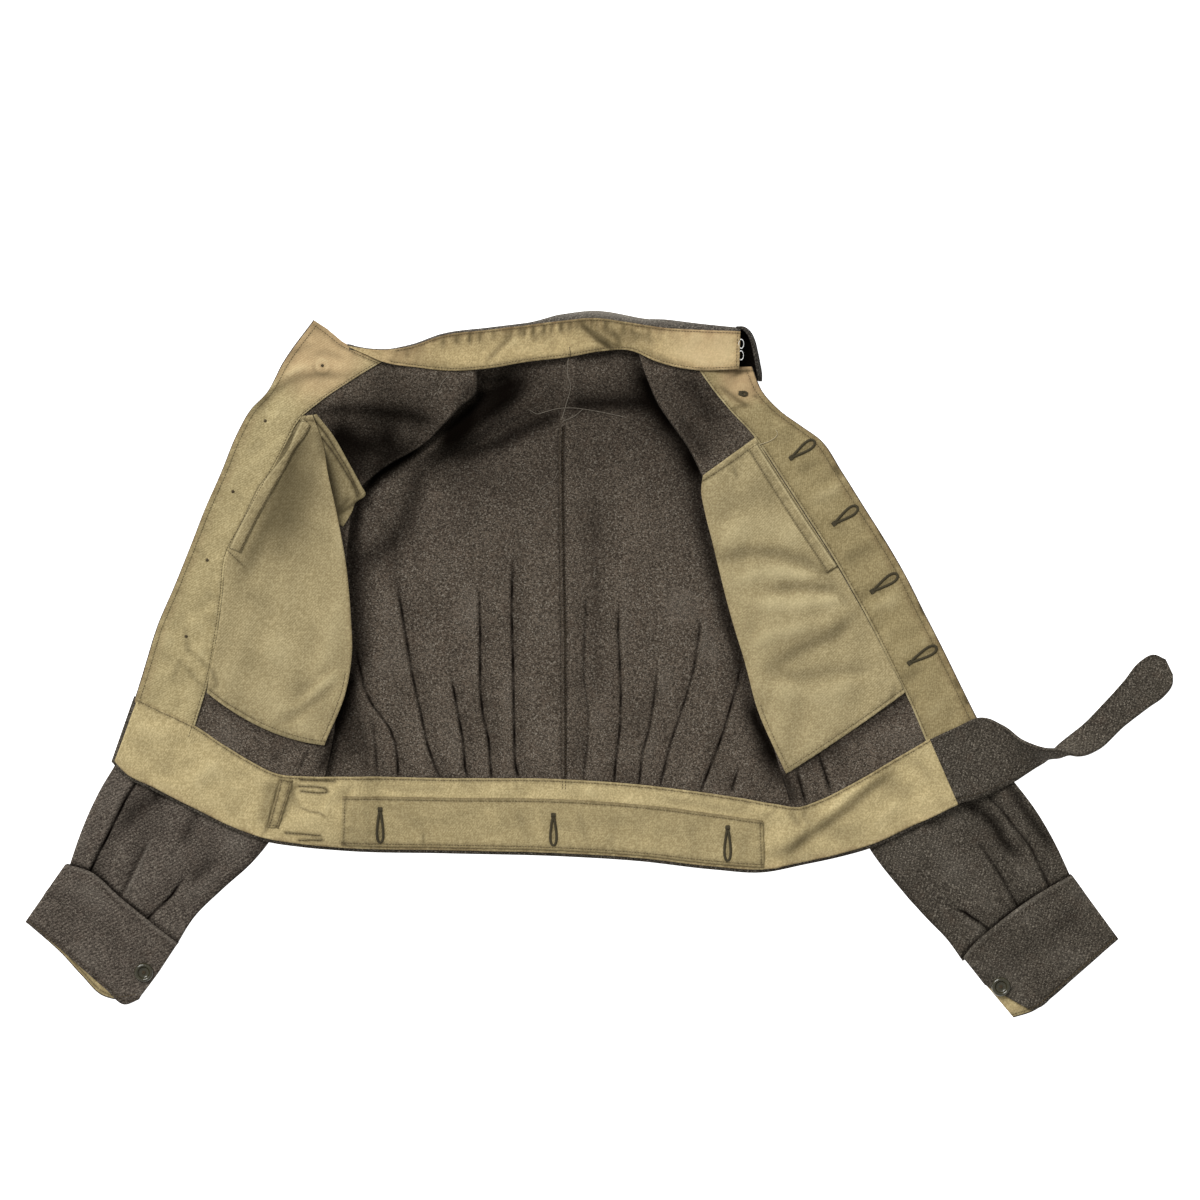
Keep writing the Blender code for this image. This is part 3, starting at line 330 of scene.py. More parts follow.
def smooth(points: Grid, at: Grid) -> Grid:
    """Smooth curve through points, read at fractional row numbers.

    Args:
        points: Points of the curve, one a row.
        at: Fractional row numbers.

    Returns:
        One point for each row number.
    """
    lengths = np.maximum(norm(np.diff(points, axis=0), axis=1), 1e-6)
    slopes = np.diff(points, axis=0) / lengths[:, None]
    tangents = np.empty_like(points)
    tangents[0] = slopes[0]
    tangents[-1] = slopes[-1]
    weight = (lengths[1:] / (lengths[:-1] + lengths[1:]))[:, None]
    tangents[1:-1] = slopes[:-1] * weight + slopes[1:] * (1.0 - weight)
    row = np.clip(np.floor(at).astype(int), 0, len(points) - 2)
    part = (at - row)[:, None]
    span = lengths[row][:, None]
    start = (1 + 2 * part) * (1 - part) ** 2 * points[row] + part * (1 - part) ** 2 * span * tangents[row]
    end = part**2 * (3 - 2 * part) * points[row + 1] - part**2 * (1 - part) * span * tangents[row + 1]
    return start + end


def between(first: Grid, second: Grid, shares: Grid) -> Grid:
    """Points at the given shares of the way from one rail to another, row by row."""
    shares = np.asarray(shares, float)
    if shares.ndim == 1:
        shares = np.tile(shares, (len(first), 1))
    return first[:, None, :] + (second - first)[:, None, :] * shares[:, :, None]


def steps_for(first: Grid, second: Grid, spacing: float = SPACING) -> Grid:
    """Even shares across two rails, fine enough for the spacing."""
    width = norm(second - first, axis=-1).max()
    return np.linspace(0.0, 1.0, max(3, int(width / spacing) + 1))


def count_for(line: Grid, spacing: float = SPACING) -> int:
    """Number of rows that gives a line of points the spacing."""
    return max(4, int(extent(line) / spacing) + 1)


def tilt(grid: Grid) -> Grid:
    """Normals of a grid of points, of any length and to either side."""
    return np.cross(np.gradient(grid, axis=1), np.gradient(grid, axis=0))


def upward(grid: Grid) -> Grid:
    """Unit normals of a grid of points, turned to the upper side."""
    normals = tilt(grid)
    normals /= np.maximum(norm(normals, axis=2, keepdims=True), 1e-9)
    return normals if normals[:, :, 2].mean() > 0 else -normals


def relax(heights: Grid, passes: int) -> Grid:
    """Heights with their facets blurred away."""
    for _ in range(passes):
        padded = np.pad(heights, 1, mode="reflect", reflect_type="odd")
        ring = padded[:-2, 1:-1] + padded[2:, 1:-1] + padded[1:-1, :-2] + padded[1:-1, 2:]
        heights = heights * 0.5 + ring * 0.125
    return heights


def waves(plan: Grid, seed: int, amplitude: float, length: float) -> Grid:
    """Soft unevenness of cloth that lies without tension.

    Args:
        plan: Plan points.
        seed: Seed of the wave directions.
        amplitude: Height of the waves.
        length: Mean wave length.

    Returns:
        A height for each point.
    """
    dice = np.random.default_rng(seed)
    total = np.zeros(plan.shape[:2])
    for _ in range(7):
        angle = dice.uniform(0, math.pi)
        wave = length * dice.uniform(0.6, 1.7)
        along = plan[:, :, 0] * math.cos(angle) + plan[:, :, 1] * math.sin(angle)
        across = plan[:, :, 1] * math.cos(angle) - plan[:, :, 0] * math.sin(angle)
        phase = dice.uniform(0, 2 * math.pi) + 0.9 * np.sin(across / (wave * 1.3) + dice.uniform(0, 6))
        total += np.sin(2 * math.pi * along / wave + phase)
    return total * amplitude / 2.6


def nearest(plan: Grid, line: Grid) -> tuple[Grid, Grid, Grid]:
    """Distance to a line of points, length along it and side of it.

    Args:
        plan: Plan points.
        line: Points of the line.

    Returns:
        Distances, lengths along the line, and sides as +1 or -1.
    """
    best = np.full(plan.shape[:2], 1e9)
    along = np.zeros_like(best)
    side = np.ones_like(best)
    run = 0.0
    for start, end in zip(line, line[1:]):
        step = end - start
        length = float(norm(step))
        if length < 1e-6:
            continue
        offset = plan - start
        share = np.clip((offset @ step) / length**2, 0.0, 1.0)
        away = norm(offset - share[:, :, None] * step, axis=2)
        closer = away < best
        best = np.where(closer, away, best)
        along = np.where(closer, run + share * length, along)
        turn = np.sign(step[0] * offset[:, :, 1] - step[1] * offset[:, :, 0])
        side = np.where(closer, turn, side)
        run += length
    return best, along, side


def creased(plan: Grid, creases: Sequence[Crease]) -> tuple[Grid, Grid]:
    """Relief and darkness of a set of creases.

    Args:
        plan: Plan points.
        creases: Ridges, or valleys where the height is below zero.

    Returns:
        A height for each point, and its painted shade, which is below zero where a painted highlight goes.
    """
    relief = np.zeros(plan.shape[:2])
    painted_shade_and_wear = np.zeros(plan.shape[:2])
    painted_highlight = np.zeros(plan.shape[:2])
    for crease in creases:
        line = resampled(np.array(crease.points, float), 4.0)
        away, along, _ = nearest(plan, line)
        run = extent(line)
        taper = np.clip(np.minimum(along, run - along) / (0.25 * run) + 0.2, 0.0, 1.0)
        swell = bell(away, crease.width) * taper**0.8
        relief += crease.height * swell
        # A shade above zero paints shade along the crease; one below zero paints a highlight.
        painted_shade_and_wear = 1.0 - (1.0 - painted_shade_and_wear) * (1.0 - np.clip(crease.shade * swell, 0.0, 1.0))
        painted_highlight = np.maximum(painted_highlight, -crease.shade * swell)
    return relief, np.where(painted_shade_and_wear > painted_highlight, painted_shade_and_wear - painted_highlight * 0.5, -painted_highlight)


def crossings(first: Grid, second: Grid, line: Sequence) -> tuple[Grid, Grid]:
    """Where rows between two rails meet a line of points.

    Args:
        first: Rail where the rows start.
        second: Rail where the rows end.
        line: Points of the line.

    Returns:
        The share of each row where the line meets it, and how far from the line's first point that is.
        Rows that the line doesn't reach keep the share of its nearest end, and a negative length.
    """
    points = resampled(np.array(line, float), 1.0)
    along = travel(points)
    way = second - first
    normal = np.column_stack([-way[:, 1], way[:, 0]])
    side = np.einsum("rk,rpk->rp", normal, points[None] - first[:, None])
    meets = side[:, :-1] * side[:, 1:] <= 0
    found = meets.any(axis=1)
    at = meets.argmax(axis=1)
    share = np.einsum("rk,rk->r", points[at] - first, way) / np.einsum("rk,rk->r", way, way)
    rows = np.arange(len(first))
    share = np.interp(rows, rows[found], share[found])
    return share, np.where(found, along[at], -1.0)


def resampled(line: Grid, pitch: float) -> Grid:
    """Points at an even pitch along a line."""
    line = np.asarray(line, float)
    along = travel(line)
    count = max(2, int(along[-1] / pitch) + 1)
    at = np.linspace(0.0, along[-1], count)
    return np.column_stack([np.interp(at, along, line[:, axis]) for axis in range(2)])


def beside(line: Grid, toward: Grid, distance: float) -> Grid:
    """A rail moved a distance towards another rail with as many points."""
    step = toward - line
    return line + step / np.maximum(norm(step, axis=1, keepdims=True), 1e-6) * distance


class Shade:
    """A material whose nodes are added and linked in one call each."""

    def __init__(self, name: str) -> None:
        """Start an empty node material with a Principled shader."""
        self.material = bpy.data.materials.new(name)
        self.material.use_nodes = True
        self.tree = self.material.node_tree
        self.shader = self.tree.nodes["Principled BSDF"]

    def node(self, kind: str, settings: dict | None = None, **inputs: object) -> bpy.types.Node:
        """Add a node.

        Args:
            kind: Blender's node type.
            settings: Properties of the node.
            **inputs: Values or output sockets by input name, with spaces as underscores.

        Returns:
            The node.
        """
        made = self.tree.nodes.new(kind)
        for key, value in (settings or {}).items():
            setattr(made, key, value)
        self.give(made, **inputs)
        return made

    def give(self, node: bpy.types.Node, **inputs: object) -> None:
        """Set or link inputs of a node, with spaces in their names as underscores."""
        for key, value in inputs.items():
            self.feed(node, key.replace("_", " "), value)

    def feed(self, node: bpy.types.Node, name: str | int, value: object) -> None:
        """Link a socket to an input, or set the input's value."""
        socket = node.inputs[name]
        if isinstance(value, bpy.types.NodeSocket):
            self.tree.links.new(value, socket)
        else:
            socket.default_value = value

    def places(self, turn: float = 0.0, scale: tuple = (1.0, 1.0, 1.0)) -> Socket:
        """Object coordinates, turned about Z by degrees and scaled."""
        at = self.node("ShaderNodeTexCoord").outputs["Object"]
        turned = (0.0, 0.0, math.radians(turn))
        return self.node("ShaderNodeMapping", Vector=at, Rotation=turned, Scale=scale).outputs["Vector"]

    def noise(self, at: object, scale: float, detail: float = 2.0, rough: float = 0.5) -> Socket:
        """Noise value at the given coordinates."""
        made = self.node("ShaderNodeTexNoise", Vector=at, Scale=scale, Detail=detail, Roughness=rough)
        return made.outputs["Fac"]

    def bands(self, at: object, period: float, warp: float) -> Socket:
        """Fine ribs across X with a period in metres."""
        wave = {"Scale": 2.0 * math.pi / (20.0 * period), "Distortion": warp}
        made = self.node("ShaderNodeTexWave", Vector=at, Detail=1.0, Detail_Scale=2.0, **wave)
        return made.outputs["Fac"]

    def ramp(self, value: object, low: float, high: float) -> Socket:
        """Value spread from low to high onto zero to one, with soft ends."""
        soft = {"interpolation_type": "SMOOTHSTEP"}
        made = self.node("ShaderNodeMapRange", soft, Value=value, From_Min=low, From_Max=high)
        return made.outputs["Result"]

    def speckle(self, at: object, noise: tuple[float, float, float], low: float, high: float) -> Socket:
        """Noise of a scale, detail and roughness, spread from low to high."""
        return self.ramp(self.noise(at, *noise), low, high)

    def math(self, kind: str, first: object, second: object) -> Socket:
        """Result of a math node."""
        made = self.node("ShaderNodeMath", {"operation": kind})
        self.feed(made, 0, first)
        self.feed(made, 1, second)
        return made.outputs[0]

    def mix(self, share: object, first: object, second: object, kind: str = "MIX") -> Socket:
        """Two colours mixed by a share."""
        made = self.node("ShaderNodeMix", {"data_type": "RGBA", "blend_type": kind})
        for socket, value in zip((0, 6, 7), (share, first, second)):
            whole = (*value, 1.0) if isinstance(value, tuple) and len(value) == 3 else value
            self.feed(made, socket, whole)
        return made.outputs[2]

    def attribute(self, name: str) -> Socket:
        """A float attribute of the piece."""
        return self.node("ShaderNodeAttribute", {"attribute_name": name}).outputs["Fac"]

    def layered(self, colour: object, *layers: tuple) -> Socket:
        """A colour under tints.

        Args:
            colour: The colour below.
            *layers: Mask, share of the mask and tint of each layer, from the lowest up.

        Returns:
            The colour that shows.
        """
        for mask, share, tint in layers:
            colour = self.mix(self.math("MULTIPLY", mask, share), colour, tint)
        return colour

    def finish(self, colour: object, height: object, depth: float, strength: float) -> bpy.types.Material:
        """Give the shader its colour and bump and return the material."""
        bump = self.node("ShaderNodeBump", Height=height, Distance=depth, Strength=strength)
        self.feed(self.shader, "Base Color", colour)
        self.feed(self.shader, "Normal", bump.outputs["Normal"])
        return self.material


@dataclass(frozen=True)
class WoolSerge:
    """Heathered wool serge: felted on its inside face, with a twill on its outside face."""

    name: str
    dark: Colour
    light: Colour
    twill: float
    turn: float
    slot: Slot = Slot.WOOL_OUTSIDE

    def material(self) -> bpy.types.Material:
        """The cloth's material."""
        shade = Shade(self.name)
        at = shade.places(self.turn)
        streaks = shade.places(self.turn + 45.0, (0.65, 1.0, 1.0))
        heather = shade.speckle(streaks, (610.0, 2.0, 0.8), 0.34, 0.66)
        specks = shade.speckle(at, (740.0, 0.0, 0.5), 0.58, 0.76)
        pits = shade.speckle(at, (560.0, 2.0, 0.7), 0.54, 0.74)
        clouds = shade.speckle(at, (24.0, 4.0, 0.6), 0.30, 0.72)
        rust = shade.speckle(at, (60.0, 3.0, 0.65), 0.50, 0.78)
        ribs = shade.bands(at, 0.0034, 1.6)
        colour = shade.layered(
            shade.mix(heather, self.dark, self.light),
            (specks, 0.75, (0.30, 0.262, 0.21)),
            (pits, 0.75, (0.017, 0.013, 0.010)),
            (ribs, self.twill, (0.022, 0.018, 0.014)),
            (rust, 0.16, (0.115, 0.072, 0.048)),
            (clouds, 0.10, (0.030, 0.024, 0.018)),
        )
        # Painted highlight and painted shade over the wool's colour; the painted shade also dulls the
        # specular.
        painted_shade_and_wear = shade.attribute("painted_shade_and_wear")
        colour = shade.mix(shade.attribute("painted_highlight"), colour, (0.30, 0.27, 0.225))
        colour = shade.mix(painted_shade_and_wear, colour, (0.0026, 0.0017, 0.0012))
        twill = shade.math("MULTIPLY", ribs, self.twill)
        felt = shade.math("ADD", shade.math("MULTIPLY", heather, 0.7), twill)
        gloss = shade.math("MULTIPLY", shade.math("SUBTRACT", 1.0, painted_shade_and_wear), 0.08)
        shade.give(shade.shader, Roughness=0.95, Specular_IOR_Level=gloss, Sheen_Weight=0.01)
        return shade.finish(colour, felt, 0.0009, 0.7)


@dataclass(frozen=True)
class CottonDrill:
    """Khaki cotton drill with a fine twill, stains, and wear along its edges."""

    name: str
    base: Colour
    turn: float
    slot: Slot = Slot.DRILL

    def tinted(self, *shares: float) -> Colour:
        """The base colour with each of its parts multiplied by a share."""
        return tuple(part * share for part, share in zip(self.base, shares))

    def material(self) -> bpy.types.Material:
        """The cloth's material."""
        shade = Shade(self.name)
        at = shade.places(self.turn)
        yarn = (560.0, 2.0, 0.6)
        ribs = shade.bands(shade.places(self.turn + 35.0), 0.0022, 1.0)
        slubs = shade.speckle(shade.places(self.turn, (1.0, 0.2, 1.0)), yarn, 0.36, 0.66)
        weft = shade.speckle(shade.places(self.turn, (0.2, 1.0, 1.0)), yarn, 0.36, 0.66)
        grain = shade.speckle(at, (500.0, 1.0, 0.7), 0.37, 0.63)
        mottle = shade.speckle(at, (130.0, 4.0, 0.7), 0.32, 0.70)
        clouds = shade.speckle(at, (30.0, 4.0, 0.6), 0.32, 0.70)
        stain = shade.speckle(at, (70.0, 4.0, 0.7), 0.25, 0.7)
        dark, pale = self.tinted(0.62, 0.59, 0.52), self.tinted(1.26, 1.26, 1.26)
        colour = shade.layered(
            shade.mix(clouds, self.tinted(0.94, 0.94, 0.94), self.tinted(1.02, 1.02, 1.02)),
            (mottle, 0.25, pale),
            (slubs, 0.42, dark),
            (weft, 0.46, pale),
            (grain, 0.68, dark),
            (ribs, 0.12, dark),
            (shade.attribute("wear"), stain, (0.175, 0.108, 0.052)),
        )
        # Blush is the drill's own peach tint; the other two tints are a painted highlight and painted shade.
        tints = {"blush": (0.60, 0.40, 0.22), "painted_highlight": (0.80, 0.69, 0.40), "painted_shade_and_wear": (0.040, 0.029, 0.011)}
        for tone, tint in tints.items():
            colour = shade.mix(shade.attribute(tone), colour, tint)
        relief = shade.math("ADD", shade.math("MULTIPLY", ribs, 0.5), shade.math("MULTIPLY", grain, 0.5))
        shade.give(shade.shader, Roughness=0.9, Specular_IOR_Level=0.15, Sheen_Weight=0.03)
        return shade.finish(colour, relief, 0.0004, 0.6)


@dataclass(frozen=True)
class Yarn:
    """Sewing thread of one colour with a twist along it."""

    name: str
    thread: Thread

    def material(self) -> bpy.types.Material:
        """The thread's material."""
        shade = Shade(self.name)
        ply = shade.noise(shade.places(30.0), 1900.0, 2.0, 0.6)
        dull, clear = (tuple(part * share for part in self.thread.value) for share in (0.6, 1.3))
        shade.give(shade.shader, Roughness=0.8, Specular_IOR_Level=0.25)
        return shade.finish(shade.mix(ply, dull, clear), ply, 0.0003, 0.5)


@dataclass(frozen=True)
class Enamel:
    """Dull paint or plating on the small metal trim, worn through on its high places."""

    name: str
    paint: Colour
    bare: Colour
    roughness: float
    metallic: float

    def material(self) -> bpy.types.Material:
        """The trim's material."""
        shade = Shade(self.name)
        spots = shade.speckle(shade.places(), (420.0, 4.0, 0.7), 0.50, 0.72)
        colour = shade.layered(self.paint, (spots, 0.6, self.bare))
        shade.give(shade.shader, Roughness=self.roughness, Metallic=self.metallic, Specular_IOR_Level=0.8)
        return shade.finish(colour, spots, 0.0002, 0.3)


def poured(name: str, bm: bmesh.types.BMesh) -> bpy.types.Mesh:
    """A mesh made from a working mesh, which is freed."""
    mesh = bpy.data.meshes.new(name)
    bm.to_mesh(mesh)
    bm.free()
    return mesh


def placed(name: str, data: object) -> bpy.types.Object:
    """A new object of the scene."""
    made = bpy.data.objects.new(name, data)
    bpy.context.scene.collection.objects.link(made)
    return made


class Terrain:
    """How high the cloth already laid down reaches."""

    def __init__(self) -> None:
        """Start with the bare surface."""
        self.top = np.zeros(tuple((2 * REACH / CELL).astype(int) + 1))

    def cells(self, points: Grid) -> tuple[Grid, Grid]:
        """Cell numbers under a set of points."""
        number = np.rint((points[..., :2] + REACH) / CELL).astype(int)
        return tuple(np.clip(number[..., axis], 1, self.top.shape[axis] - 2) for axis in range(2))

    def add(self, grid: Grid) -> None:
        """Cloth with this upper face now lies there."""
        for a in (0.0, 0.5):
            for b in (0.0, 0.5):
                near = grid[:-1, :-1] * (1 - a) * (1 - b) + grid[:-1, 1:] * a * (1 - b)
                points = near + grid[1:, :-1] * (1 - a) * b + grid[1:, 1:] * a * b
                np.maximum.at(self.top, self.cells(points), points[:, :, 2])

    def cover(self, plan: Grid) -> Grid:
        """Highest cloth at and just round each plan point."""
        first, second = self.cells(plan)
        shifts = [self.top[first + i, second + j] for i in (-1, 0, 1) for j in (-1, 0, 1)]
        return np.max(shifts, axis=0)


class Workroom:
    """Where the pieces are laid out, sewn and handed to the part."""

    def __init__(self, nodes: dict[str, bpy.types.Object]) -> None:
        """Keep the part's solids, by name."""
        self.nodes = nodes
        self.trees: dict[str, BVHTree] = {}
        self.terrain = Terrain()
        self.grids: list[Grid] = []
        self.seams: list[tuple[Grid, Thread]] = []
        self.materials: dict[str, bpy.types.Material] = {}
        self.surface: BVHTree | None = None

    def form(self, node: str, plan: Grid, under: bool = False) -> Grid:
        """Heights of a solid's upper or under side.

        Args:
            node: The solid's name.
            plan: Plan points.
            under: Whether the under side is read.

        Returns:
            A height in millimetres for each point.
        """
        if node not in self.trees:
            mesh = self.nodes[node].data
            corners = [vertex.co[:] for vertex in mesh.vertices]
            self.trees[node] = BVHTree.FromPolygons(corners, [face.vertices[:] for face in mesh.polygons])
        tree = self.trees[node]
        low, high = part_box(node)
        start = low.z - 0.01 if under else high.z + 0.01
        ray = Vector((0.0, 0.0, 1.0 if under else -1.0))
        heights = np.empty(plan.shape[0] * plan.shape[1])
        for number, (x, y) in enumerate((plan.reshape(-1, 2) + SHIFT) * MM):
            spot = tree.ray_cast(Vector((x, y, start)), ray)[0]
            if spot is None:
                spot = tree.find_nearest(Vector((x, y, start)))[0]
            heights[number] = spot.z / MM
        return heights.reshape(plan.shape[:2])

    def material(self, finish: object) -> bpy.types.Material:
        """The finish's material, made once."""
        if finish.name not in self.materials:
            self.materials[finish.name] = finish.material()
        return self.materials[finish.name]

    def close(self) -> None:
        """Gather the upper faces, so that trim can be set down on them."""
        corners = []
        faces = []
        for grid in self.grids:
            rows, columns = grid.shape[:2]
            first = len(corners)
            points = grid.reshape(-1, 3).copy()
            points[:, :2] += SHIFT
            corners += [tuple(point) for point in points * MM]
            start = (np.arange(rows - 1)[:, None] * columns + np.arange(columns - 1)).ravel() + first
            faces += np.column_stack([start, start + 1, start + columns + 1, start + columns]).tolist()
        self.surface = BVHTree.FromPolygons(corners, faces)

    def down(self, x: float, y: float) -> tuple[Vector, Vector]:
        """Place in metres and upward normal of the uppermost cloth at a plan point."""
        start = Vector(((x + SHIFT[0]) * MM, (y + SHIFT[1]) * MM, 0.2))
        spot, normal = self.surface.ray_cast(start, Vector((0, 0, -1)))[:2]
        if spot is None:
            spot, normal = Vector((start.x, start.y, 0.0)), Vector((0, 0, 1))
        return spot, normal if normal.z > 0 else -normal

    def own(self, name: str, bm: bmesh.types.BMesh, finish: object, slot: Slot, *nodes: str) -> None:
        """Hand a finished trim mesh to the part.

        Args:
            name: Name of the piece.
            bm: Its mesh, which is freed.
            finish: Its finish.
            slot: Its material slot; not used.
            *nodes: Solids that it stands for.
        """
        mesh = poured(name, bm)
        mesh.shade_smooth()
        piece = placed(name, mesh)
        mesh.materials.append(self.material(finish))
        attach(piece, "root")
        if nodes:
            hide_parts(*nodes)
        LOG.info("%s: %d faces", name, len(mesh.polygons))


@dataclass
class Cloth:
    """One cut piece: the plan and heights of its upper face, its tones and what it is made of."""

    room: Workroom
    node: str
    plan: Grid
    finish: WoolSerge | CottonDrill
    thickness: float
    offset: float = -1.0
    heights: Grid | None = None
    # Wear and blush are the cloth's own colour; the other tones are painted shade and painted highlights.
    tones: dict[str, Grid] = field(default_factory=dict)

    def settle(self, passes: int = 8, under: bool = False) -> None:
        """Take the heights from the solid, its facets blurred away."""
        self.heights = relax(self.room.form(self.node, self.plan, under), passes)
        if under:
            self.heights = self.heights + self.thickness

    def tone(self, name: str, values: Grid) -> None:
        """Lay a tone over what the piece has of it."""
        old = self.tones.get(name, np.zeros(self.plan.shape[:2]))
        more = old + (1.0 - np.clip(old, 0, 1)) * np.clip(values, 0, 1)
        self.tones[name] = np.where(values > 0, more, old + values)

    def crease(self, creases: Sequence[Crease]) -> None:
        """Place the listed creases."""
        relief, painted_shade_and_wear = creased(self.plan, creases)
        self.heights = self.heights + relief
        # The creases' painted shade and painted highlights.
        self.tone("painted_shade_and_wear", painted_shade_and_wear)

    def wave(self, seed: int, amplitude: float, length: float) -> None:
        """Add the soft unevenness of loose cloth, with painted shade in its hollows and a painted highlight
        on its crests.
        """
        swell = waves(self.plan, seed, amplitude, length)
        self.heights = self.heights + swell
        self.tone("painted_shade_and_wear", np.where(swell < 0, -0.08, -0.05) * swell / max(amplitude, 0.1))

    def lift(self, passes: int = 3) -> None:
        """Raise the piece clear of the cloth that lies below."""
        cover = self.room.terrain.cover(self.plan)
        least = np.where(cover > BARE, cover + self.thickness + CLEARANCE, self.thickness)
        heights = np.maximum(self.heights, least)
        for _ in range(passes):
            heights = np.maximum(relax(heights, 1), least)
        self.heights = heights

    def sew(self, lines: Sequence, thread: Thread, pucker: float, shade: float = 0.3) -> None:
        """Press seam lines into the piece and note them for stitching.

        Args:
            lines: Seam lines in plan.
            thread: Thread of the stitches.
            pucker: Height of the puckers beside the seams.
            shade: How dark the painted shade in the seam's groove is.
        """
        for number, line in enumerate(lines):
            line = resampled(np.array(line, float), 9.0)
            self.room.seams.append((line, thread))
            away, along, side = nearest(self.plan, line)
            wander = 2.0 * np.sin(along / 23.0 + number) + 1.3 * np.sin(along / 9.1 + 2.0 * number)
            ripple = np.sin(along * 2 * math.pi / 10.5 + wander + side * 0.6)
            self.heights = self.heights + pucker * ripple * bell(away, 5.5)
            self.heights = self.heights - 0.45 * bell(away, 1.9)
            # Painted shade in the seam's groove and in the hollows of its puckers.
            hollows = 0.30 * pucker * np.maximum(-ripple, 0.0) * bell(away, 5.0)
            self.tone("painted_shade_and_wear", shade * bell(away, 1.7) + hollows)

    def drape(self, creases: Sequence[Crease], seed: int, amplitude: float, length: float) -> None:
        """Settle the piece, crease it and add its soft unevenness."""
        self.settle()
        self.crease(creases)
        self.wave(seed, amplitude, length)

    def join(self, plan: Grid, heights: Grid, before: bool = False, painted_shade_and_wear: float = 0.0) -> None:
        """Add columns of points after the piece's last column, or before its first.

        Args:
            plan: Plan points of the columns.
            heights: Their heights.
            before: Whether they go before the first column.
            painted_shade_and_wear: How much darker than the piece's edge they end.
        """
        order = -1 if before else 1
        old = self.tones["painted_shade_and_wear"]
        edge = old[:, :1] if before else old[:, -1:]
        # The added columns go on from the edge's painted shade and get darker towards their end.
        darker = edge + np.linspace(0.0, painted_shade_and_wear, heights.shape[1])
        self.tones["painted_shade_and_wear"] = np.hstack([old, darker][::order])
        self.plan = np.hstack([self.plan, plan][::order])
        self.heights = np.hstack([self.heights, heights][::order])

    def grid(self) -> Grid:
        """Points of the upper face."""
        return np.dstack([self.plan, self.heights])

    def lengths(self) -> tuple[float, float, float]:
        """Greatest width, greatest length and area of the piece when pressed flat, in metres."""
        grid = self.grid()
        across = norm(np.diff(grid, axis=1), axis=2).sum(axis=1).max()
        down = norm(np.diff(grid, axis=0), axis=2).sum(axis=0).max()
        first = grid[1:, 1:] - grid[:-1, :-1]
        second = grid[1:, :-1] - grid[:-1, 1:]
        area = norm(np.cross(first, second), axis=2).sum() / 2
        return across * MM, down * MM, area * MM * MM

    def mesh(self) -> bpy.types.Mesh:
        """The sheet's mesh, with its tones, in the part's frame."""
        grid = self.grid()
        rows, columns = grid.shape[:2]
        bm = bmesh.new()
        bmesh.ops.create_grid(bm, x_segments=columns - 1, y_segments=rows - 1, size=1.0)
        mesh = poured(self.node, bm)
        flat = np.empty(len(mesh.vertices) * 3, np.float32)
        mesh.vertices.foreach_get("co", flat)
        flat = flat.reshape(-1, 3)
        row = np.rint((flat[:, 1] + 1) / 2 * (rows - 1)).astype(int)
        place = np.rint((flat[:, 0] + 1) / 2 * (columns - 1)).astype(int)
        points = grid[row, place].copy()
        points[:, :2] += SHIFT
        mesh.vertices.foreach_set("co", (points * MM).astype(np.float32).ravel())
        # Painted highlights are where the painted shade is below zero.
        tones = {**self.tones, "painted_highlight": -self.tones.get("painted_shade_and_wear", np.zeros((rows, columns)))}
        for name, values in tones.items():
            layer = mesh.attributes.new(name, "FLOAT", "POINT")
            layer.data.foreach_set("value", np.clip(values, 0, 1)[row, place].astype(np.float32))
        if tilt(grid)[:, :, 2].mean() < 0:
            mesh.flip_normals()
        mesh.shade_smooth()
        return mesh

    def lay(self, *rests_on: str) -> None:
        """Turn the piece into an object of the part; the named solids below it are not used."""
        piece = placed(f"{self.node}_cloth", self.mesh())
        wall = piece.modifiers.new("wall", "SOLIDIFY")
        wall.thickness = self.thickness * MM
        wall.offset = self.offset
        wall.use_quality_normals = True
        piece.data.materials.append(self.room.material(self.finish))
        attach(piece, "root")
        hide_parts(self.node)
        width, length, area = self.lengths()
        area = min(max(area, LEAST_AREA * width * length), width * length)
        top = self.grid() + (0.0, 0.0, self.thickness * (self.offset + 1.0) / 2)
        self.room.terrain.add(top)
        self.room.grids.append(top)
        LOG.info("%s: %d points, cut %.0f x %.0f mm", piece.name, self.heights.size, width / MM, length / MM)


WOOL_INSIDE = WoolSerge(
    "wool_inside", (0.036, 0.028, 0.020), (0.158, 0.126, 0.095), 0.12, 20.0, Slot.WOOL_INSIDE
)
WOOL_LEFT_ARM = WoolSerge("wool_left_arm", (0.040, 0.032, 0.025), (0.178, 0.147, 0.118), 0.35, 62.0)
WOOL_RIGHT_ARM = WoolSerge("wool_right_arm", (0.029, 0.0245, 0.018), (0.124, 0.106, 0.081), 0.35, 15.0)
WOOL_COLLAR = WoolSerge("wool_collar", (0.040, 0.036, 0.030), (0.140, 0.126, 0.106), 0.30, 40.0)
DRILL_FACING = CottonDrill("drill_facing", (0.470, 0.388, 0.207), 25.0)
DRILL_RIGHT = CottonDrill("drill_right", (0.357, 0.288, 0.148), -28.0)
DRILL_BAG = CottonDrill("drill_bag", (0.422, 0.347, 0.190), 8.0)
DRILL_BAND = CottonDrill("drill_band", (0.548, 0.447, 0.238), 0.0)
DRILL_COLLAR = CottonDrill("drill_collar", (0.562, 0.442, 0.229), 3.0)


def marked(shares: Sequence[Grid], width: Grid, spacing: float) -> Grid:
    """Columns of shares that run along every marked line and are no wider apart than the spacing."""
    columns = [shares[0]]
    for first, last in zip(shares, shares[1:]):
        parts = max(1, math.ceil(float(((last - first) * width).max()) / spacing))
        columns += [first + (last - first) * part / parts for part in range(1, parts + 1)]
    return np.column_stack(columns)


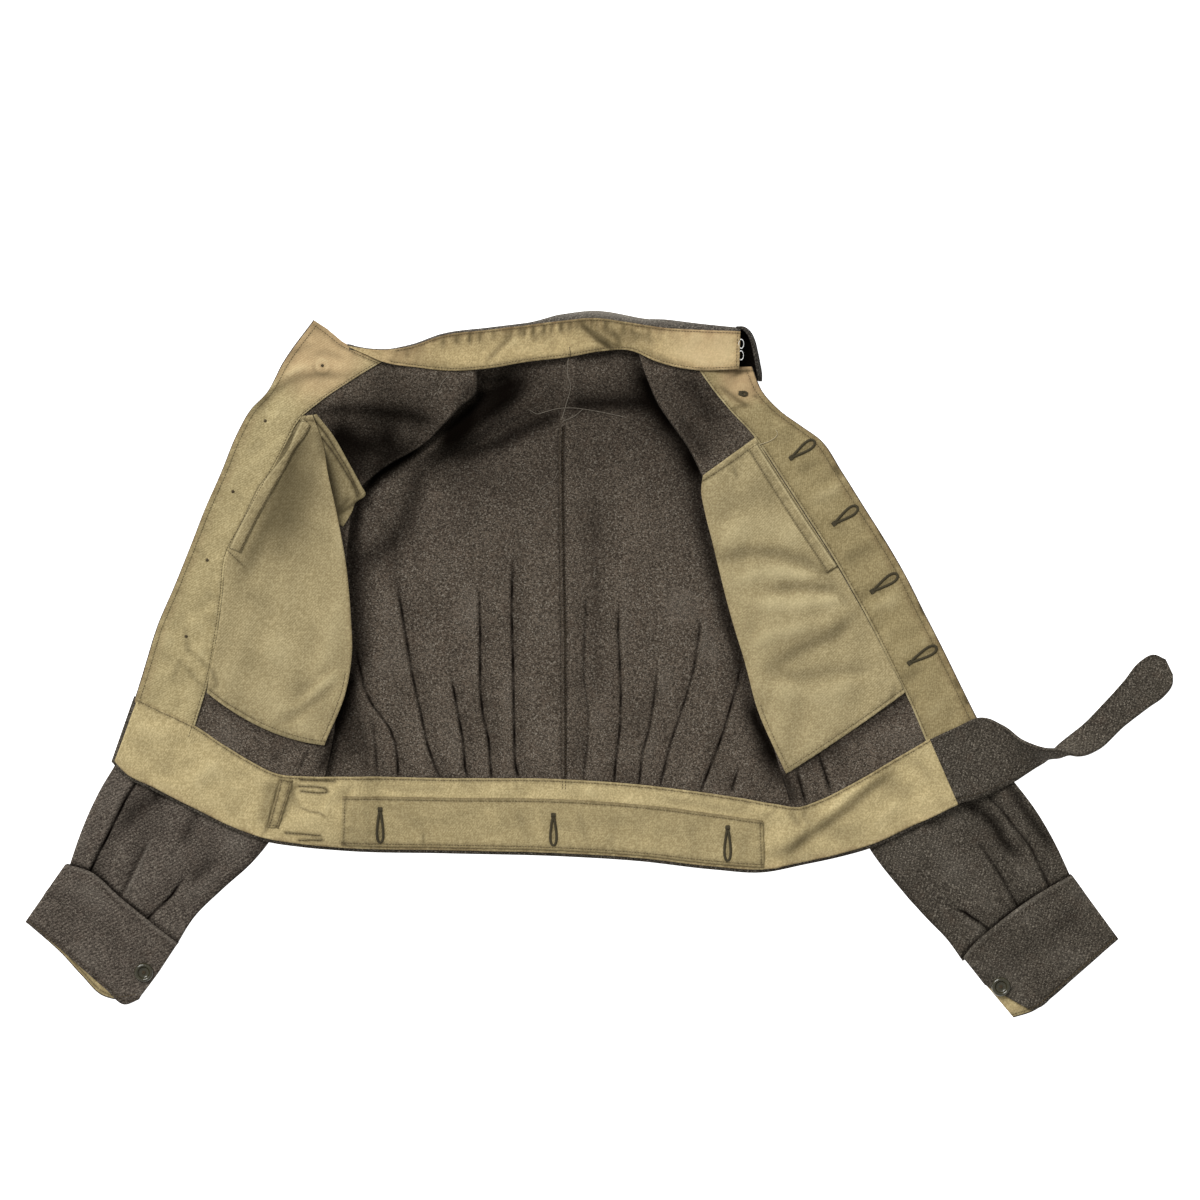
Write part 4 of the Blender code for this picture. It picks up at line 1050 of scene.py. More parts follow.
def pressed(first: Grid, second: Grid, folds: Sequence[Fold], spacing: float) -> tuple[Grid, Grid, Grid]:
    """Lay out rows between two rails with sharp pressed folds.

    Args:
        first: Rail where the rows start.
        second: Rail where the rows end.
        folds: Folds across the rows; the cloth past the fold lies over where its rise is above zero.
        spacing: Distance of the columns.

    Returns:
        Plan points, the folds' relief and their painted shade, below zero where a highlight is painted.
    """
    width = norm(second - first, axis=1)
    lines = [crossings(first, second, fold.points) for fold in folds]
    order = list(np.argsort([share[-1] for share, _ in lines]))
    gap = 3.8 / width
    for inner, number in zip(order, order[1:]):
        share, along = lines[number]
        lines[number] = (np.maximum(share, lines[inner][0] + gap), along)
    marks = [np.zeros(len(first))]
    for number in order:
        marks += [lines[number][0] + shift / width for shift in (-1.8, -0.7, 0.7, 1.8)]
    marks.append(np.ones(len(first)))
    shares = marked([np.clip(mark, 0.0, 1.0) for mark in marks], width, spacing)
    relief = np.zeros(shares.shape)
    painted_shade_and_wear = np.zeros(shares.shape)
    for fold, (share, along) in zip(folds, lines):
        away = (shares - share[:, None]) * width[:, None]
        fade = np.where(along >= 0, np.clip(along / fold.fade, 0.0, 1.0), 0.0)
        fade = relax(np.tile(fade[:, None], (1, 3)), 2)[:, 1:2]
        uneven = 0.85 + 0.15 * np.sin(along / 6.0 + share[-1] * 40.0)[:, None]
        high = np.sign(fold.rise) * away
        lip = abs(fold.rise) * bell(high, 9.0, 1.8)
        foot = 0.25 * abs(fold.rise) * bell(high, 6.0, -1.8)
        relief += fade * np.where(high >= 1.7, lip, np.where(high <= -1.7, foot, -1.0))
        # Painted shade along each fold line and in the valley beside it, and a painted highlight on its
        # crest; a shade below zero paints a highlight line.
        line = np.where(np.abs(away) < 1.0, 1.0, 0.45 * bell(away, 3.2))
        valley = 0.22 * bell(high, 7.0, -7.0)
        crest = 0.10 * bell(high, 3.0, 4.5)
        tint = fold.shade * fade * uneven * (line + valley)
        painted_shade_and_wear = np.where(tint > 0, np.maximum(painted_shade_and_wear, tint), painted_shade_and_wear + tint) - fade * crest * (np.abs(away) > 1.9)
    return between(first, second, shares), relief, painted_shade_and_wear


@dataclass
class BodySide:
    """One side of the body: half of the back, the front of wool and its facing of drill."""

    room: Workroom
    side: Side
    rows: Sequence[BodyRow]
    folds: Sequence[Fold]
    drill: CottonDrill
    seam_gap: float
    back_creases: Sequence[Crease] = ()
    front_creases: Sequence[Crease] = ()
    facing_creases: Sequence[Crease] = ()
    edge_stitch: float = 6.4
    blush: tuple[float, float, float] = (0.0, 0.0, 1.0)
    lapel_dip: float = 0.0
    top_lift: float = -2.0
    waist_y: float = -118.0
    back_lap: float = 24.0
    facing_inset: float = 0.018

    def back(self) -> None:
        """Lay the half back with its pleats."""
        fold = rail(self.rows, "fold")
        lap = self.back_lap * np.clip((fold[:, 1] - self.waist_y) / 200.0, 0.12, 1.0)
        lap[0] = 1.0
        outer = fold + unit(rail(self.rows, "facing") - fold) * lap[:, None]
        outer[0] += (0.0, self.top_lift)
        seam_y = column(self.rows, "seam_y")[:, 0]
        centre = np.column_stack([np.interp(seam_y, *zip(*CENTRE_SEAM)) + self.seam_gap, seam_y])
        at = stations([outer, centre], count_for(centre))
        centre, outer = smooth(centre, at), smooth(outer, at)
        plan, relief, painted_shade_and_wear = pressed(centre, outer, self.folds, SPACING)
        cloth = Cloth(self.room, f"back_{self.side}", plan, WOOL_INSIDE, WOOL)
        cloth.settle(10, under=True)
        cloth.heights = cloth.heights + relief
        # Painted shade along the pleats and creases, and more of it towards the collar.
        cloth.tone("painted_shade_and_wear", painted_shade_and_wear)
        cloth.crease(self.back_creases)
        cloth.tone("painted_shade_and_wear", 0.24 * np.clip((plan[:, :, 1] - 80.0) / 150.0, 0.0, 1.0))
        cloth.wave(11, 0.5, 60.0)
        cloth.lift(1)
        sewn = beside(centre, outer, 2.1)
        cloth.sew([sewn[sewn[:, 1] < 250.0]], Thread.BROWN, 0.2, 0.95)
        if self.side is Side.RIGHT:
            self.allow(cloth, unit(centre - outer))
        self.rise(cloth, unit(outer - centre))
        cloth.lay()

    def allow(self, cloth: Cloth, away: Grid) -> None:
        """Turn a seam allowance in under the other half, so that the seam stays shut.

        Args:
            cloth: The half back, whose first column is the seam.
            away: Plan directions across the seam.
        """
        edge = cloth.grid()[:, :1]
        spots = edge[:, :, :2] + away[:, None] * np.array([7.0, 2.5])[:, None]
        under = np.maximum(self.room.terrain.cover(spots) - 0.8, 1.6)
        under[:, 1:] = np.minimum(under[:, 1:], edge[:, :, 2])
        cloth.join(spots, under, before=True)

    def rise(self, cloth: Cloth, outward: Grid) -> None:
        """Turn the back's outer edge up to the front, as the side seam holds it.

        Args:
            cloth: The half back, whose last column is the outer edge.
            outward: Plan directions from the seam to the outer edge.
        """
        edge = cloth.grid()[:, -1:]
        spots = edge[:, :, :2] + outward[:, None] * np.array([3.0, 6.0, 7.0])[:, None]
        roof = self.room.form(f"front_{self.side}", spots) - WOOL - 1.0
        climb = (roof - edge[:, :, 2]) * (0.0, 0.7, 1.0)
        cloth.join(spots, np.maximum(edge[:, :, 2], edge[:, :, 2] + climb))

    def front(self) -> None:
        """Lay the front with its rolled inner fold, and the facing on it."""
        rails = [rail(self.rows, part) for part in ("edge", "facing", "fold")]
        at = stations(rails, count_for(rails[0]))
        edge, inner, fold = (smooth(line, at) for line in rails)
        over = np.unique(np.append(steps_for(edge, inner), self.facing_inset))
        first = int(np.searchsorted(over, self.facing_inset))
        plan = np.hstack([between(edge, inner, over), between(inner, fold, steps_for(inner, fold)[1:])])
        dip = self.lapel_dip * bell(np.arange(len(at)), 9.0)
        plan[:, : len(over), 1] -= dip[:, None] * np.interp(over, *zip(*LAPEL_DIP))
        cloth = Cloth(self.room, f"front_{self.side}", plan, WOOL_INSIDE, WOOL)
        cloth.drape(self.front_creases, 21, 0.5, 55.0)
        cloth.lift()
        roll = self.roll(cloth.grid()[:, -1], unit(inner - fold))
        # The rolled lip gets painted shade, darker towards its under side.
        cloth.join(roll[:, :, :2], roll[:, :, 2], painted_shade_and_wear=0.8)
        cloth.lay(f"sleeve_top_{self.side}", "waistband_wool")
        self.face(plan[:, first : len(over)])

    def roll(self, fold: Grid, inward: Grid) -> Grid:
        """Points of the inner edge that rolls under.

        Args:
            fold: Points of the fold.
            inward: Plan directions from the fold to the facing.

        Returns:
            Further columns of the front's grid.
        """
        spots = [fold[:, None, :2] + inward[:, None] * shift for shift in (-3.0, 0.0, 3.0)]
        floor = np.max([self.room.terrain.cover(spot)[:, 0] for spot in spots], axis=0)
        radius = np.clip((fold[:, 2] - floor - WOOL) / 2, 1.2, 6.5)
        lip = []
        for degrees in (25, 50, 75, 100, 125, 150):
            turn = math.radians(degrees)
            away = -inward * (radius * 0.5 * math.sin(turn))[:, None]
            lip.append(np.column_stack([fold[:, :2] + away, fold[:, 2] - radius * (1 - math.cos(turn))]))
        return np.stack(lip, axis=1)

    def face(self, plan: Grid) -> None:
        """Lay the drill facing on the front's own points."""
        cloth = Cloth(self.room, f"facing_{self.side}", plan, self.drill, DRILL)
        cloth.drape(self.facing_creases, 31, 0.8, 36.0)
        edge, inner = plan[:, 0], plan[:, -1]
        outside, inside = beside(edge, inner, self.edge_stitch), beside(inner, edge, 2.6)
        seams = [outside[outside[:, 1] > -60.0], inside[inside[:, 1] > -76.0], beside(plan[0], plan[8], 4.6)]
        cloth.sew(seams, Thread.OLIVE, 0.5, 0.22)
        cloth.lift()
        lip, head, rim = apart(plan, plan[:, :1]), apart(plan, plan[:1]), apart(plan, plan[:, -1:])
        cloth.tone("wear", 0.75 * np.exp(-lip / 4.0) + 0.25 * bell(lip, 3.0, 9.0))
        cloth.tone("wear", 0.7 * np.exp(-head / 4.0))
        # A painted highlight along the inner edge, and a dark line 5 mm below the top edge.
        cloth.tone("painted_shade_and_wear", -0.45 * bell(rim, 1.5))
        cloth.tone("painted_shade_and_wear", 0.22 * bell(head, 1.6, 5.0))
        x, y, reach = self.blush
        cloth.tone("blush", 0.5 * np.exp(-(np.hypot(plan[:, :, 0] - x, plan[:, :, 1] - y) / reach) ** 4))
        cloth.lay(f"front_{self.side}")


@dataclass
class Pocket:
    """A pocket bag that lies over the front, with its welt and any layer folded out of it."""

    room: Workroom
    side: Side
    rows: Sequence[BagRow]
    mouth: Sequence[BandRow]
    layer: Sequence[BagRow] = ()
    creases: Sequence[Crease] = ()
    extra_seams: Sequence[Course] = ()
    layer_creases: Sequence[Crease] = ()
    layer_seams: Sequence[Course] = ()
    hem: float = 4.4
    seam_reach: float = 2.6

    def plan(self, rows: Sequence[BagRow], reach: float) -> Grid:
        """Plan points of a bag or layer, whose seam edge is moved out by the reach."""
        seam, free = rail(rows, "seam"), rail(rows, "free")
        seam = beside(seam, free, -reach)
        at = stations([seam, free], count_for(seam))
        seam, free = smooth(seam, at), smooth(free, at)
        shares = steps_for(seam, free)
        plan = between(seam, free, shares)
        plan[:, :, 1] -= smooth(column(rows, "sag"), at) * 4.0 * shares * (1.0 - shares)
        return plan

    def build(self) -> None:
        """Lay the folded-out layer, the bag and the welt."""
        name = self.side
        if self.layer:
            cloth = Cloth(self.room, f"pocket_layer_{name}", self.plan(self.layer, 0.0), DRILL_BAG, DRILL)
            cloth.settle(4)
            cloth.crease(self.layer_creases)
            cloth.lift()
            cloth.sew(self.layer_seams, Thread.BROWN, 0.25, 0.75)
            # The whole layer is painted evenly darker.
            cloth.tone("painted_shade_and_wear", np.full(cloth.heights.shape, 0.34))
            cloth.lay(f"front_{name}")
        plan = self.plan(self.rows, self.seam_reach)
        cloth = Cloth(self.room, f"pocket_bag_{name}", plan, DRILL_BAG, DRILL)
        cloth.drape(self.creases, 41, 0.7, 45.0)
        cloth.lift()
        free, low, top = plan[:, -1], plan[-1], plan[0]
        cloth.sew([beside(low, plan[-8], self.hem), *self.extra_seams], Thread.OLIVE, 0.4, 0.35)
        cloth.sew([beside(free, plan[:, 0], self.hem)[-24:-1]], Thread.OLIVE, 0.2, 0.15)
        cloth.sew([beside(top, plan[8], self.hem * 1.5)], Thread.OLIVE, 0.4, 0.5)
        cloth.tone("wear", 0.35 * np.exp(-apart(plan, plan[:, -1:]) / 3.0))
        cloth.lay(f"front_{name}")
        self.welt()

    def welt(self) -> None:
        """Lay the narrow welt along the pocket's mouth, with the puckers of its two seams."""
        lip, foot = rail(self.mouth, "top"), rail(self.mouth, "low")
        at = stations([lip, foot], count_for(lip, 2.0))
        lip, foot = smooth(lip, at), smooth(foot, at)
        plan = between(lip, foot, np.linspace(0.0, 1.0, 7))
        along = travel(lip)[:, None]
        ripple = np.sin(along / 3.1 + 2.4 * np.sin(along / 9.0)) * np.sin(np.linspace(0, math.pi, 7))
        cloth = Cloth(self.room, f"pocket_welt_{self.side}", plan, DRILL_BAG, DRILL)
        cloth.heights = self.room.terrain.cover(plan) + DRILL
        cloth.lift()
        cloth.heights = relax(cloth.heights, 6) + 0.15 * ripple
        # Painted shade over the welt, deeper in the hollows of its puckers; a painted shadow line at its lip
        # and a painted highlight 2 mm inside it.
        cloth.tone("painted_shade_and_wear", 0.14 - 0.10 * ripple)
        away = apart(plan, plan[:, :1])
        cloth.tone("painted_shade_and_wear", 0.70 * bell(away, 0.9) - 0.40 * bell(away, 0.9, 2.0))
        cloth.sew([beside(foot, lip, 1.2)], Thread.OLIVE, 0.15, 0.34)
        cloth.lay(f"pocket_bag_{self.side}")


@dataclass
class Sleeve:
    """A flattened sleeve and its cuff: the under layers, the cuff's lining and the top layers."""

    room: Workroom
    side: Side
    rows: Sequence[SleeveRow]
    folds: Sequence[Fold]
    cuff: Sequence[CuffRow]
    wool: WoolSerge
    creases: Sequence[Crease] = ()
    spacing: float = 3.4

    def build(self) -> None:
        """Lay the sleeve from the bottom up."""
        name = self.side
        rails = [rail(self.cuff, part) for part in ("seam", "mid", "end", "under")]
        at = stations(rails[:1], count_for(rails[0]))
        seam, mid, end, under = (smooth(line, at) for line in rails)
        plan = between(seam, under, steps_for(seam, under))
        cloth = Cloth(self.room, f"cuff_under_{name}", plan, self.wool, WOOL)
        cloth.settle(0)
        cloth.lay()
        out, inner = rail(self.rows, "out"), rail(self.rows, "in")
        rows = stations([out, inner], count_for(out, self.spacing))
        out, inner = smooth(out, rows), smooth(inner, rows)
        plan = between(out, inner, steps_for(out, inner, 5.0))
        cloth = Cloth(self.room, f"sleeve_under_{name}", plan, self.wool, WOOL)
        cloth.settle(3)
        cloth.lift()
        cloth.lay(f"cuff_under_{name}")
        plan = between(seam, beside(under, seam, 1.4), np.linspace(0.25, 1.0, 30))
        cloth = Cloth(self.room, f"cuff_lining_{name}", plan, DRILL_BAND, DRILL)
        cloth.settle(3)
        cloth.lift()
        cloth.sew([beside(plan[:, -1], seam, 2.6)], Thread.OLIVE, 0.2, 0.5)
        cloth.tone("wear", np.full(cloth.heights.shape, 0.3))
        cloth.lay(f"cuff_under_{name}")
        self.upper(out, inner, seam)
        turned = between(mid, end, steps_for(mid, end)[1:])
        self.turn_up(np.hstack([between(seam, mid, steps_for(seam, mid)), turned]))

    def upper(self, out: Grid, inner: Grid, seam: Grid) -> None:
        """Lay the sleeve's top layer.

        Args:
            out: Its outer edge.
            inner: Its inner edge.
            seam: The cuff's seam, which shades it.
        """
        plan, relief, painted_shade_and_wear = pressed(out[::-1], inner[::-1], self.folds, self.spacing)
        cloth = Cloth(self.room, f"sleeve_top_{self.side}", plan, self.wool, WOOL)
        cloth.settle(8, under=True)
        cloth.heights = cloth.heights + relief
        cloth.tone("painted_shade_and_wear", painted_shade_and_wear)
        cloth.crease(self.creases)
        # Painted shadow along the cuff's seam.
        cloth.tone("painted_shade_and_wear", 0.95 * bell(nearest(plan, seam)[0], 2.8))
        cloth.wave(51, 0.6, 60.0)
        cloth.lift(1)
        cloth.lay(f"sleeve_under_{self.side}")

    def turn_up(self, plan: Grid) -> None:
        """Lay the cuff's top layer."""
        cloth = Cloth(self.room, f"cuff_top_{self.side}", plan, self.wool, WOOL)
        cloth.drape((), 61, 0.5, 45.0)
        cloth.lift()
        cloth.sew([beside(plan[:, -1], plan[:, 0], 3.4)], Thread.BROWN, 0.15, 0.35)
        inside = apart(plan, plan[:, :1])
        # A painted highlight 2 mm from the cuff's seam, and a band of painted shade 6.5 mm from it.
        cloth.tone("painted_shade_and_wear", -0.16 * bell(inside, 1.6, 2.0))
        cloth.tone("painted_shade_and_wear", 0.20 * bell(inside, 2.0, 6.5))
        cloth.lay(f"sleeve_top_{self.side}")


@dataclass
class Waistband:
    """The waistband: its wool, lining, buttonhole strip and belt-loop tuck, and the belt strap."""

    room: Workroom
    rows: Sequence[BandRow]
    strap: Sequence[StrapRow]
    tuck: Sequence[BandRow]
    creases: Sequence[Crease] = ()
    strip_creases: Sequence[Crease] = ()
    marks: Sequence[Course] = ()
    border: float = 3.4
    strip: tuple[float, float, float, float] = (-269.0, 174.0, 0.27, 0.965)
    strap_wall: float = 3.0
    strap_bulge: float = -8.0

    def plan(self, from_x: float, to_x: float, top: float, low: float, spacing: float = SPACING) -> Grid:
        """Plan points of a layer of the band.

        Args:
            from_x: Where it starts along the top edge.
            to_x: Where it ends.
            top: Share down the band where it starts.
            low: Share down the band where it ends.
            spacing: Distance of its points.

        Returns:
            Plan points, from the left to the right and from the top to the bottom.
        """
        upper, lower = rail(self.rows, "top"), rail(self.rows, "low")
        ends = np.interp([from_x, to_x], upper[:, 0], np.arange(len(upper)))
        fine = stations([upper, lower], 1200)
        fine = fine[(fine >= ends[0]) & (fine <= ends[1])]
        fine = np.concatenate([ends[:1], fine, ends[1:]])
        count = count_for(smooth(upper, fine), spacing)
        at = np.interp(np.linspace(0, 1, count), np.linspace(0, 1, len(fine)), fine)
        upper, lower = smooth(upper, at), smooth(lower, at)
        shares = steps_for(upper, lower, spacing)
        return between(upper, lower, top + shares * (low - top))

    def wool(self) -> None:
        """Lay the band's wool, which shows as a border below the lining."""
        plan = self.plan(-600.0, 352.0, 0.0, 1.0, 4.0)
        plan[:, -1] += unit(plan[:, -1] - plan[:, -2]) * self.border
        plan[0] += unit(plan[0] - plan[1]) * 1.2
        cloth = Cloth(self.room, "waistband_wool", plan, WOOL_RIGHT_ARM, WOOL)
        cloth.settle(4)
        cloth.lift()
        cloth.lay("sleeve_top_left", "sleeve_top_right")

    def build(self) -> None:
        """Lay the strap, the lining, the strip and the tuck."""
        self.belt()
        plan = self.plan(-484.5, 600.0, 0.0, 1.0, 2.0)
        cloth = Cloth(self.room, "waistband_lining", plan, DRILL_BAND, DRILL)
        cloth.drape(self.creases, 71, 0.8, 42.0)
        cloth.lift()
        cloth.sew([beside(plan[:, 0], plan[:, -1], 2.4)], Thread.OLIVE, 0.5, 0.40)
        cloth.sew(self.marks, Thread.BROWN, 0.1, 0.75)
        down, up = apart(plan, plan[:, -1:]), apart(plan, plan[:, :1])
        cloth.tone("wear", 0.7 * np.exp(-down / 4.5) + 0.35 * np.exp(-up / 3.0))
        cloth.lay("waistband_wool")
        strip = self.plan(*self.strip)
        lean = np.clip((strip[:, :, 0] - 124.0) / 40.0, 0.0, 1.0) * np.linspace(0.0, 1.0, strip.shape[1])
        strip[:, :, 0] += 10.5 * lean
        self.patch("buttonhole_strip", strip, 3.0)
        left, right = rail(self.tuck, "top"), rail(self.tuck, "low")
        at = stations([left, right], 34)
        tuck = between(smooth(left, at), smooth(right, at), np.linspace(0, 1, 9))
        self.patch("belt_loop_tuck", tuck, 2.2)

    def patch(self, node: str, plan: Grid, hem: float) -> None:
        """Lay a smaller layer on the lining, sewn along its four sides.

        Args:
            node: Solid that it stands for.
            plan: Its plan points.
            hem: Distance of the stitches from its edges.
        """
        cloth = Cloth(self.room, node, plan, DRILL_BAND, DRILL)
        cloth.heights = relax(self.room.terrain.cover(plan) + DRILL + 0.3, 4)
        cloth.crease(self.strip_creases)
        cloth.lift()
        top, low = plan[:, 0], plan[:, -1]
        sides = ((top, low), (low, top), (plan[0], plan[4]), (plan[-1], plan[-5]))
        cloth.sew([beside(line, toward, hem) for line, toward in sides], Thread.OLIVE, 0.4, 0.32)
        edge = np.minimum(apart(plan, plan[:, :1]), apart(plan, plan[:, -1:]))
        cloth.tone("wear", 0.4 * np.exp(-edge / 3.0))
        # The patch is painted evenly darker, with painted shade along its edges.
        cloth.tone("painted_shade_and_wear", 0.22 + 0.25 * np.exp(-edge / 1.0))
        cloth.lay("waistband_lining")

    def belt(self) -> None:
        """Lay the belt strap, which turns over once."""
        first, second = (column(self.strap, f"{edge}_x", f"{edge}_y", f"{edge}_z") for edge in "ab")
        at = stations([first, second], 120)
        first, second = smooth(first, at), smooth(second, at)
        shares = np.linspace(0.0, 1.0, 25)
        grid = between(first, second, shares)
        run = np.gradient((first + second)[:, :2], axis=0)
        across = unit(np.column_stack([-run[:, 1], run[:, 0]]))
        bulge = self.strap_bulge * bell(norm((first - second)[:, :2], axis=1), 15.0)
        grid[:, :, :2] += across[:, None, :] * (bulge[:, None] * 4 * shares * (1 - shares))[:, :, None]
        cover = self.room.terrain.cover(grid)
        clear = np.where(cover > BARE, cover + self.strap_wall / 2 + 0.3, self.strap_wall / 2)
        over = np.maximum(clear - grid[:, :, 2], 0.0).max(axis=1)
        grid[:, :, 2] += relax(over[:, None] * np.ones((1, 3)), 6)[:, :1]
        grid += upward(grid) * waves(grid[:, :, :2], 81, 0.3, 40.0)[:, :, None]
        plan, heights = grid[:, :, :2], grid[:, :, 2]
        cloth = Cloth(self.room, "belt_strap", plan, WOOL_RIGHT_ARM, self.strap_wall, 0.0, heights)
        rim = np.minimum(shares, 1.0 - shares) * 72.0
        # The strap is painted darker 3.5 mm inside each edge.
        cloth.tone("painted_shade_and_wear", np.tile(0.30 * bell(rim, 1.5, 3.5), (len(at), 1)))
        sewn = beside(second[:, :2], first[:, :2], 5.0)
        cloth.sew([sewn[sewn[:, 0] < 434.0]], Thread.BROWN, 0.1, 0.3)
        cloth.lay()


@dataclass
class Collar:
    """The wool collar that rolls over behind its drill lining, and its turned end."""

    room: Workroom
    rows: Sequence[CollarRow]
    end: Sequence[CollarEndRow]
    creases: Sequence[Crease] = ()
    neck_lap: float = 1.5
    floor_reach: float = 26.0

    def build(self) -> None:
        """Lay the turned end, the wool and the lining."""
        self.turned_end()
        top, seam = rail(self.rows, "top"), rail(self.rows, "seam")
        at = stations([top, seam], count_for(top, 2.5))
        top, seam = smooth(top, at), smooth(seam, at)
        self.wool(top, seam, smooth(column(self.rows, "top_z", "seam_z", "show"), at))
        plan = between(seam, top, steps_for(seam, top, 2.0))
        cloth = Cloth(self.room, "collar_lining", plan, DRILL_COLLAR, DRILL)
        cloth.drape(self.creases, 91, 0.5, 30.0)
        x = plan[:, :, 0]
        up = apart(plan, plan[:, -1:])
        ripple = np.sin(x / 2.6 + 1.7 * np.sin(x / 11.0)) + 0.5 * np.sin(x / 1.5 + 1.0)
        gather = bell(up, 6.5, 7.0) * np.interp(x, *zip(*COLLAR_GATHER))
        cloth.heights = cloth.heights + 0.45 * ripple * gather
        # Painted shade in the hollows of the gathers and a painted highlight on their crests.
        cloth.tone("painted_shade_and_wear", np.where(ripple < 0, -0.34, -0.10) * ripple * gather)
        cloth.lift()
        # Each pucker at the top edge is a small valley with painted shade.
        for spot in PUCKERS:
            high = float(np.interp(spot, top[:, 0], top[:, 1]))
            cloth.crease([Crease(((spot, high - 1.0), (spot - 1.0, high - 12.0)), 2.6, -0.8, 0.6)])
        seams = [beside(top, seam, 2.0)[top[:, 0] > -212.0], beside(seam, top, 2.6)[seam[:, 0] > -222.0]]
        cloth.sew([*seams, beside(plan[-1], plan[-4], 3.0)], Thread.OLIVE, 0.4, 0.30)
        rubbed = 0.85 * np.exp(-up / 4.0) + 0.25 * np.exp(-up / 14.0)
        cloth.tone("wear", rubbed * np.clip((x + 262.0) / 50.0, 0.1, 1.0))
        cloth.tone("blush", 0.40 * bell(x, 45.0, 115.0) + 0.25 * bell(x, 30.0, -215.0))
        # A painted highlight round x = 115, painted shade round x = 10, and darker round x = -190.
        cloth.tone("painted_shade_and_wear", -0.22 * bell(x, 40.0, 115.0))
        cloth.tone("painted_shade_and_wear", 0.16 * bell(x, 40.0, 10.0) + 0.21 * bell(x, 60.0, -190.0))
        cloth.lay("collar_outer")

    def wool(self, top: Grid, seam: Grid, sizes: Grid) -> None:
        """Lay the wool of the collar.

        Args:
            top: Top edge of the lining.
            seam: Neck edge of the lining.
            sizes: Heights of both edges, and how far the wool shows past the top edge.
        """
        top_z, seam_z, show = (sizes[:, part : part + 1] for part in range(3))
        depth = norm(top - seam, axis=1, keepdims=True)
        outward = (top - seam) / depth
        floor = np.full_like(depth, 1.0)
        under = (
            (np.full_like(depth, self.neck_lap), seam_z + (top_z - seam_z) * 0.3),
            (depth * 0.6, seam_z + (top_z - seam_z) * 0.6),
            (depth - 3.0, top_z),
        )
        path = [(np.minimum(depth * 0.5, self.neck_lap + 4.0), floor)]
        for out, height in under:
            lining = self.room.form("collar_lining", (seam + outward * out)[:, None])
            path.append((out, np.maximum(height - 1.3, lining - 2.4)))
        path += [
            (depth + show * 0.55, top_z * 0.86),
            (depth + show, top_z * 0.5),
            (depth + show * 0.5, top_z * 0.16 + 0.7),
            (depth - 6.0, floor),
            (depth - self.floor_reach, floor),
        ]
        knots = np.stack([np.hstack([seam + outward * out, height]) for out, height in path], axis=1)
        fine = np.linspace(0.0, len(path) - 1.0, 41)
        grid = np.stack([smooth(section, fine) for section in knots])
        plan, heights = grid[:, :, :2], np.maximum(grid[:, :, 2], 1.0)
        cloth = Cloth(self.room, "collar_outer", plan, WOOL_COLLAR, WOOL, 0.0, heights)
        # A painted highlight along the outer crest of the roll, round x = 12.
        cloth.tone("painted_shade_and_wear", -0.45 * (bell(grid[:, :, 0], 55.0, 12.0) * bell(fine, 0.8, 4.4)))
        cloth.lay()

    def turned_end(self) -> None:
        """Lay the collar's end, which stands up along its outer edge."""
        rails = [rail(self.end, part) for part in ("floor", "foot", "top")]
        at = stations(rails[1:2], 28)
        floor, foot, top = (smooth(line, at) for line in rails)
        top_z = smooth(column(self.end, "top_z"), at)
        flat = np.ones((len(at), 1))
        toward = unit(foot - floor)
        path = (
            (floor, flat),
            (foot - toward * 3.0, flat),
            (foot - toward * 0.6, flat + 2.0),
            ((foot + top) / 2, top_z * 0.55),
            (top, top_z),
        )
        knots = np.stack([np.hstack(pair) for pair in path], axis=1)
        fine = np.linspace(0.0, 4.0, 18)
        grid = np.stack([smooth(section, fine) for section in knots])
        plan, heights = grid[:, :, :2], np.maximum(grid[:, :, 2], WOOL * 0.8)
        cloth = Cloth(self.room, "collar_end", plan, WOOL_COLLAR, WOOL * 1.6, 0.0, heights)
        # Painted shadow inside the turned end: near black on the floor of the gap, lighter up its side.
        cloth.tone("painted_shade_and_wear", np.tile(np.clip(1.6 - fine * 0.30, 0.45, 0.97), (len(at), 1)))
        cloth.lay()


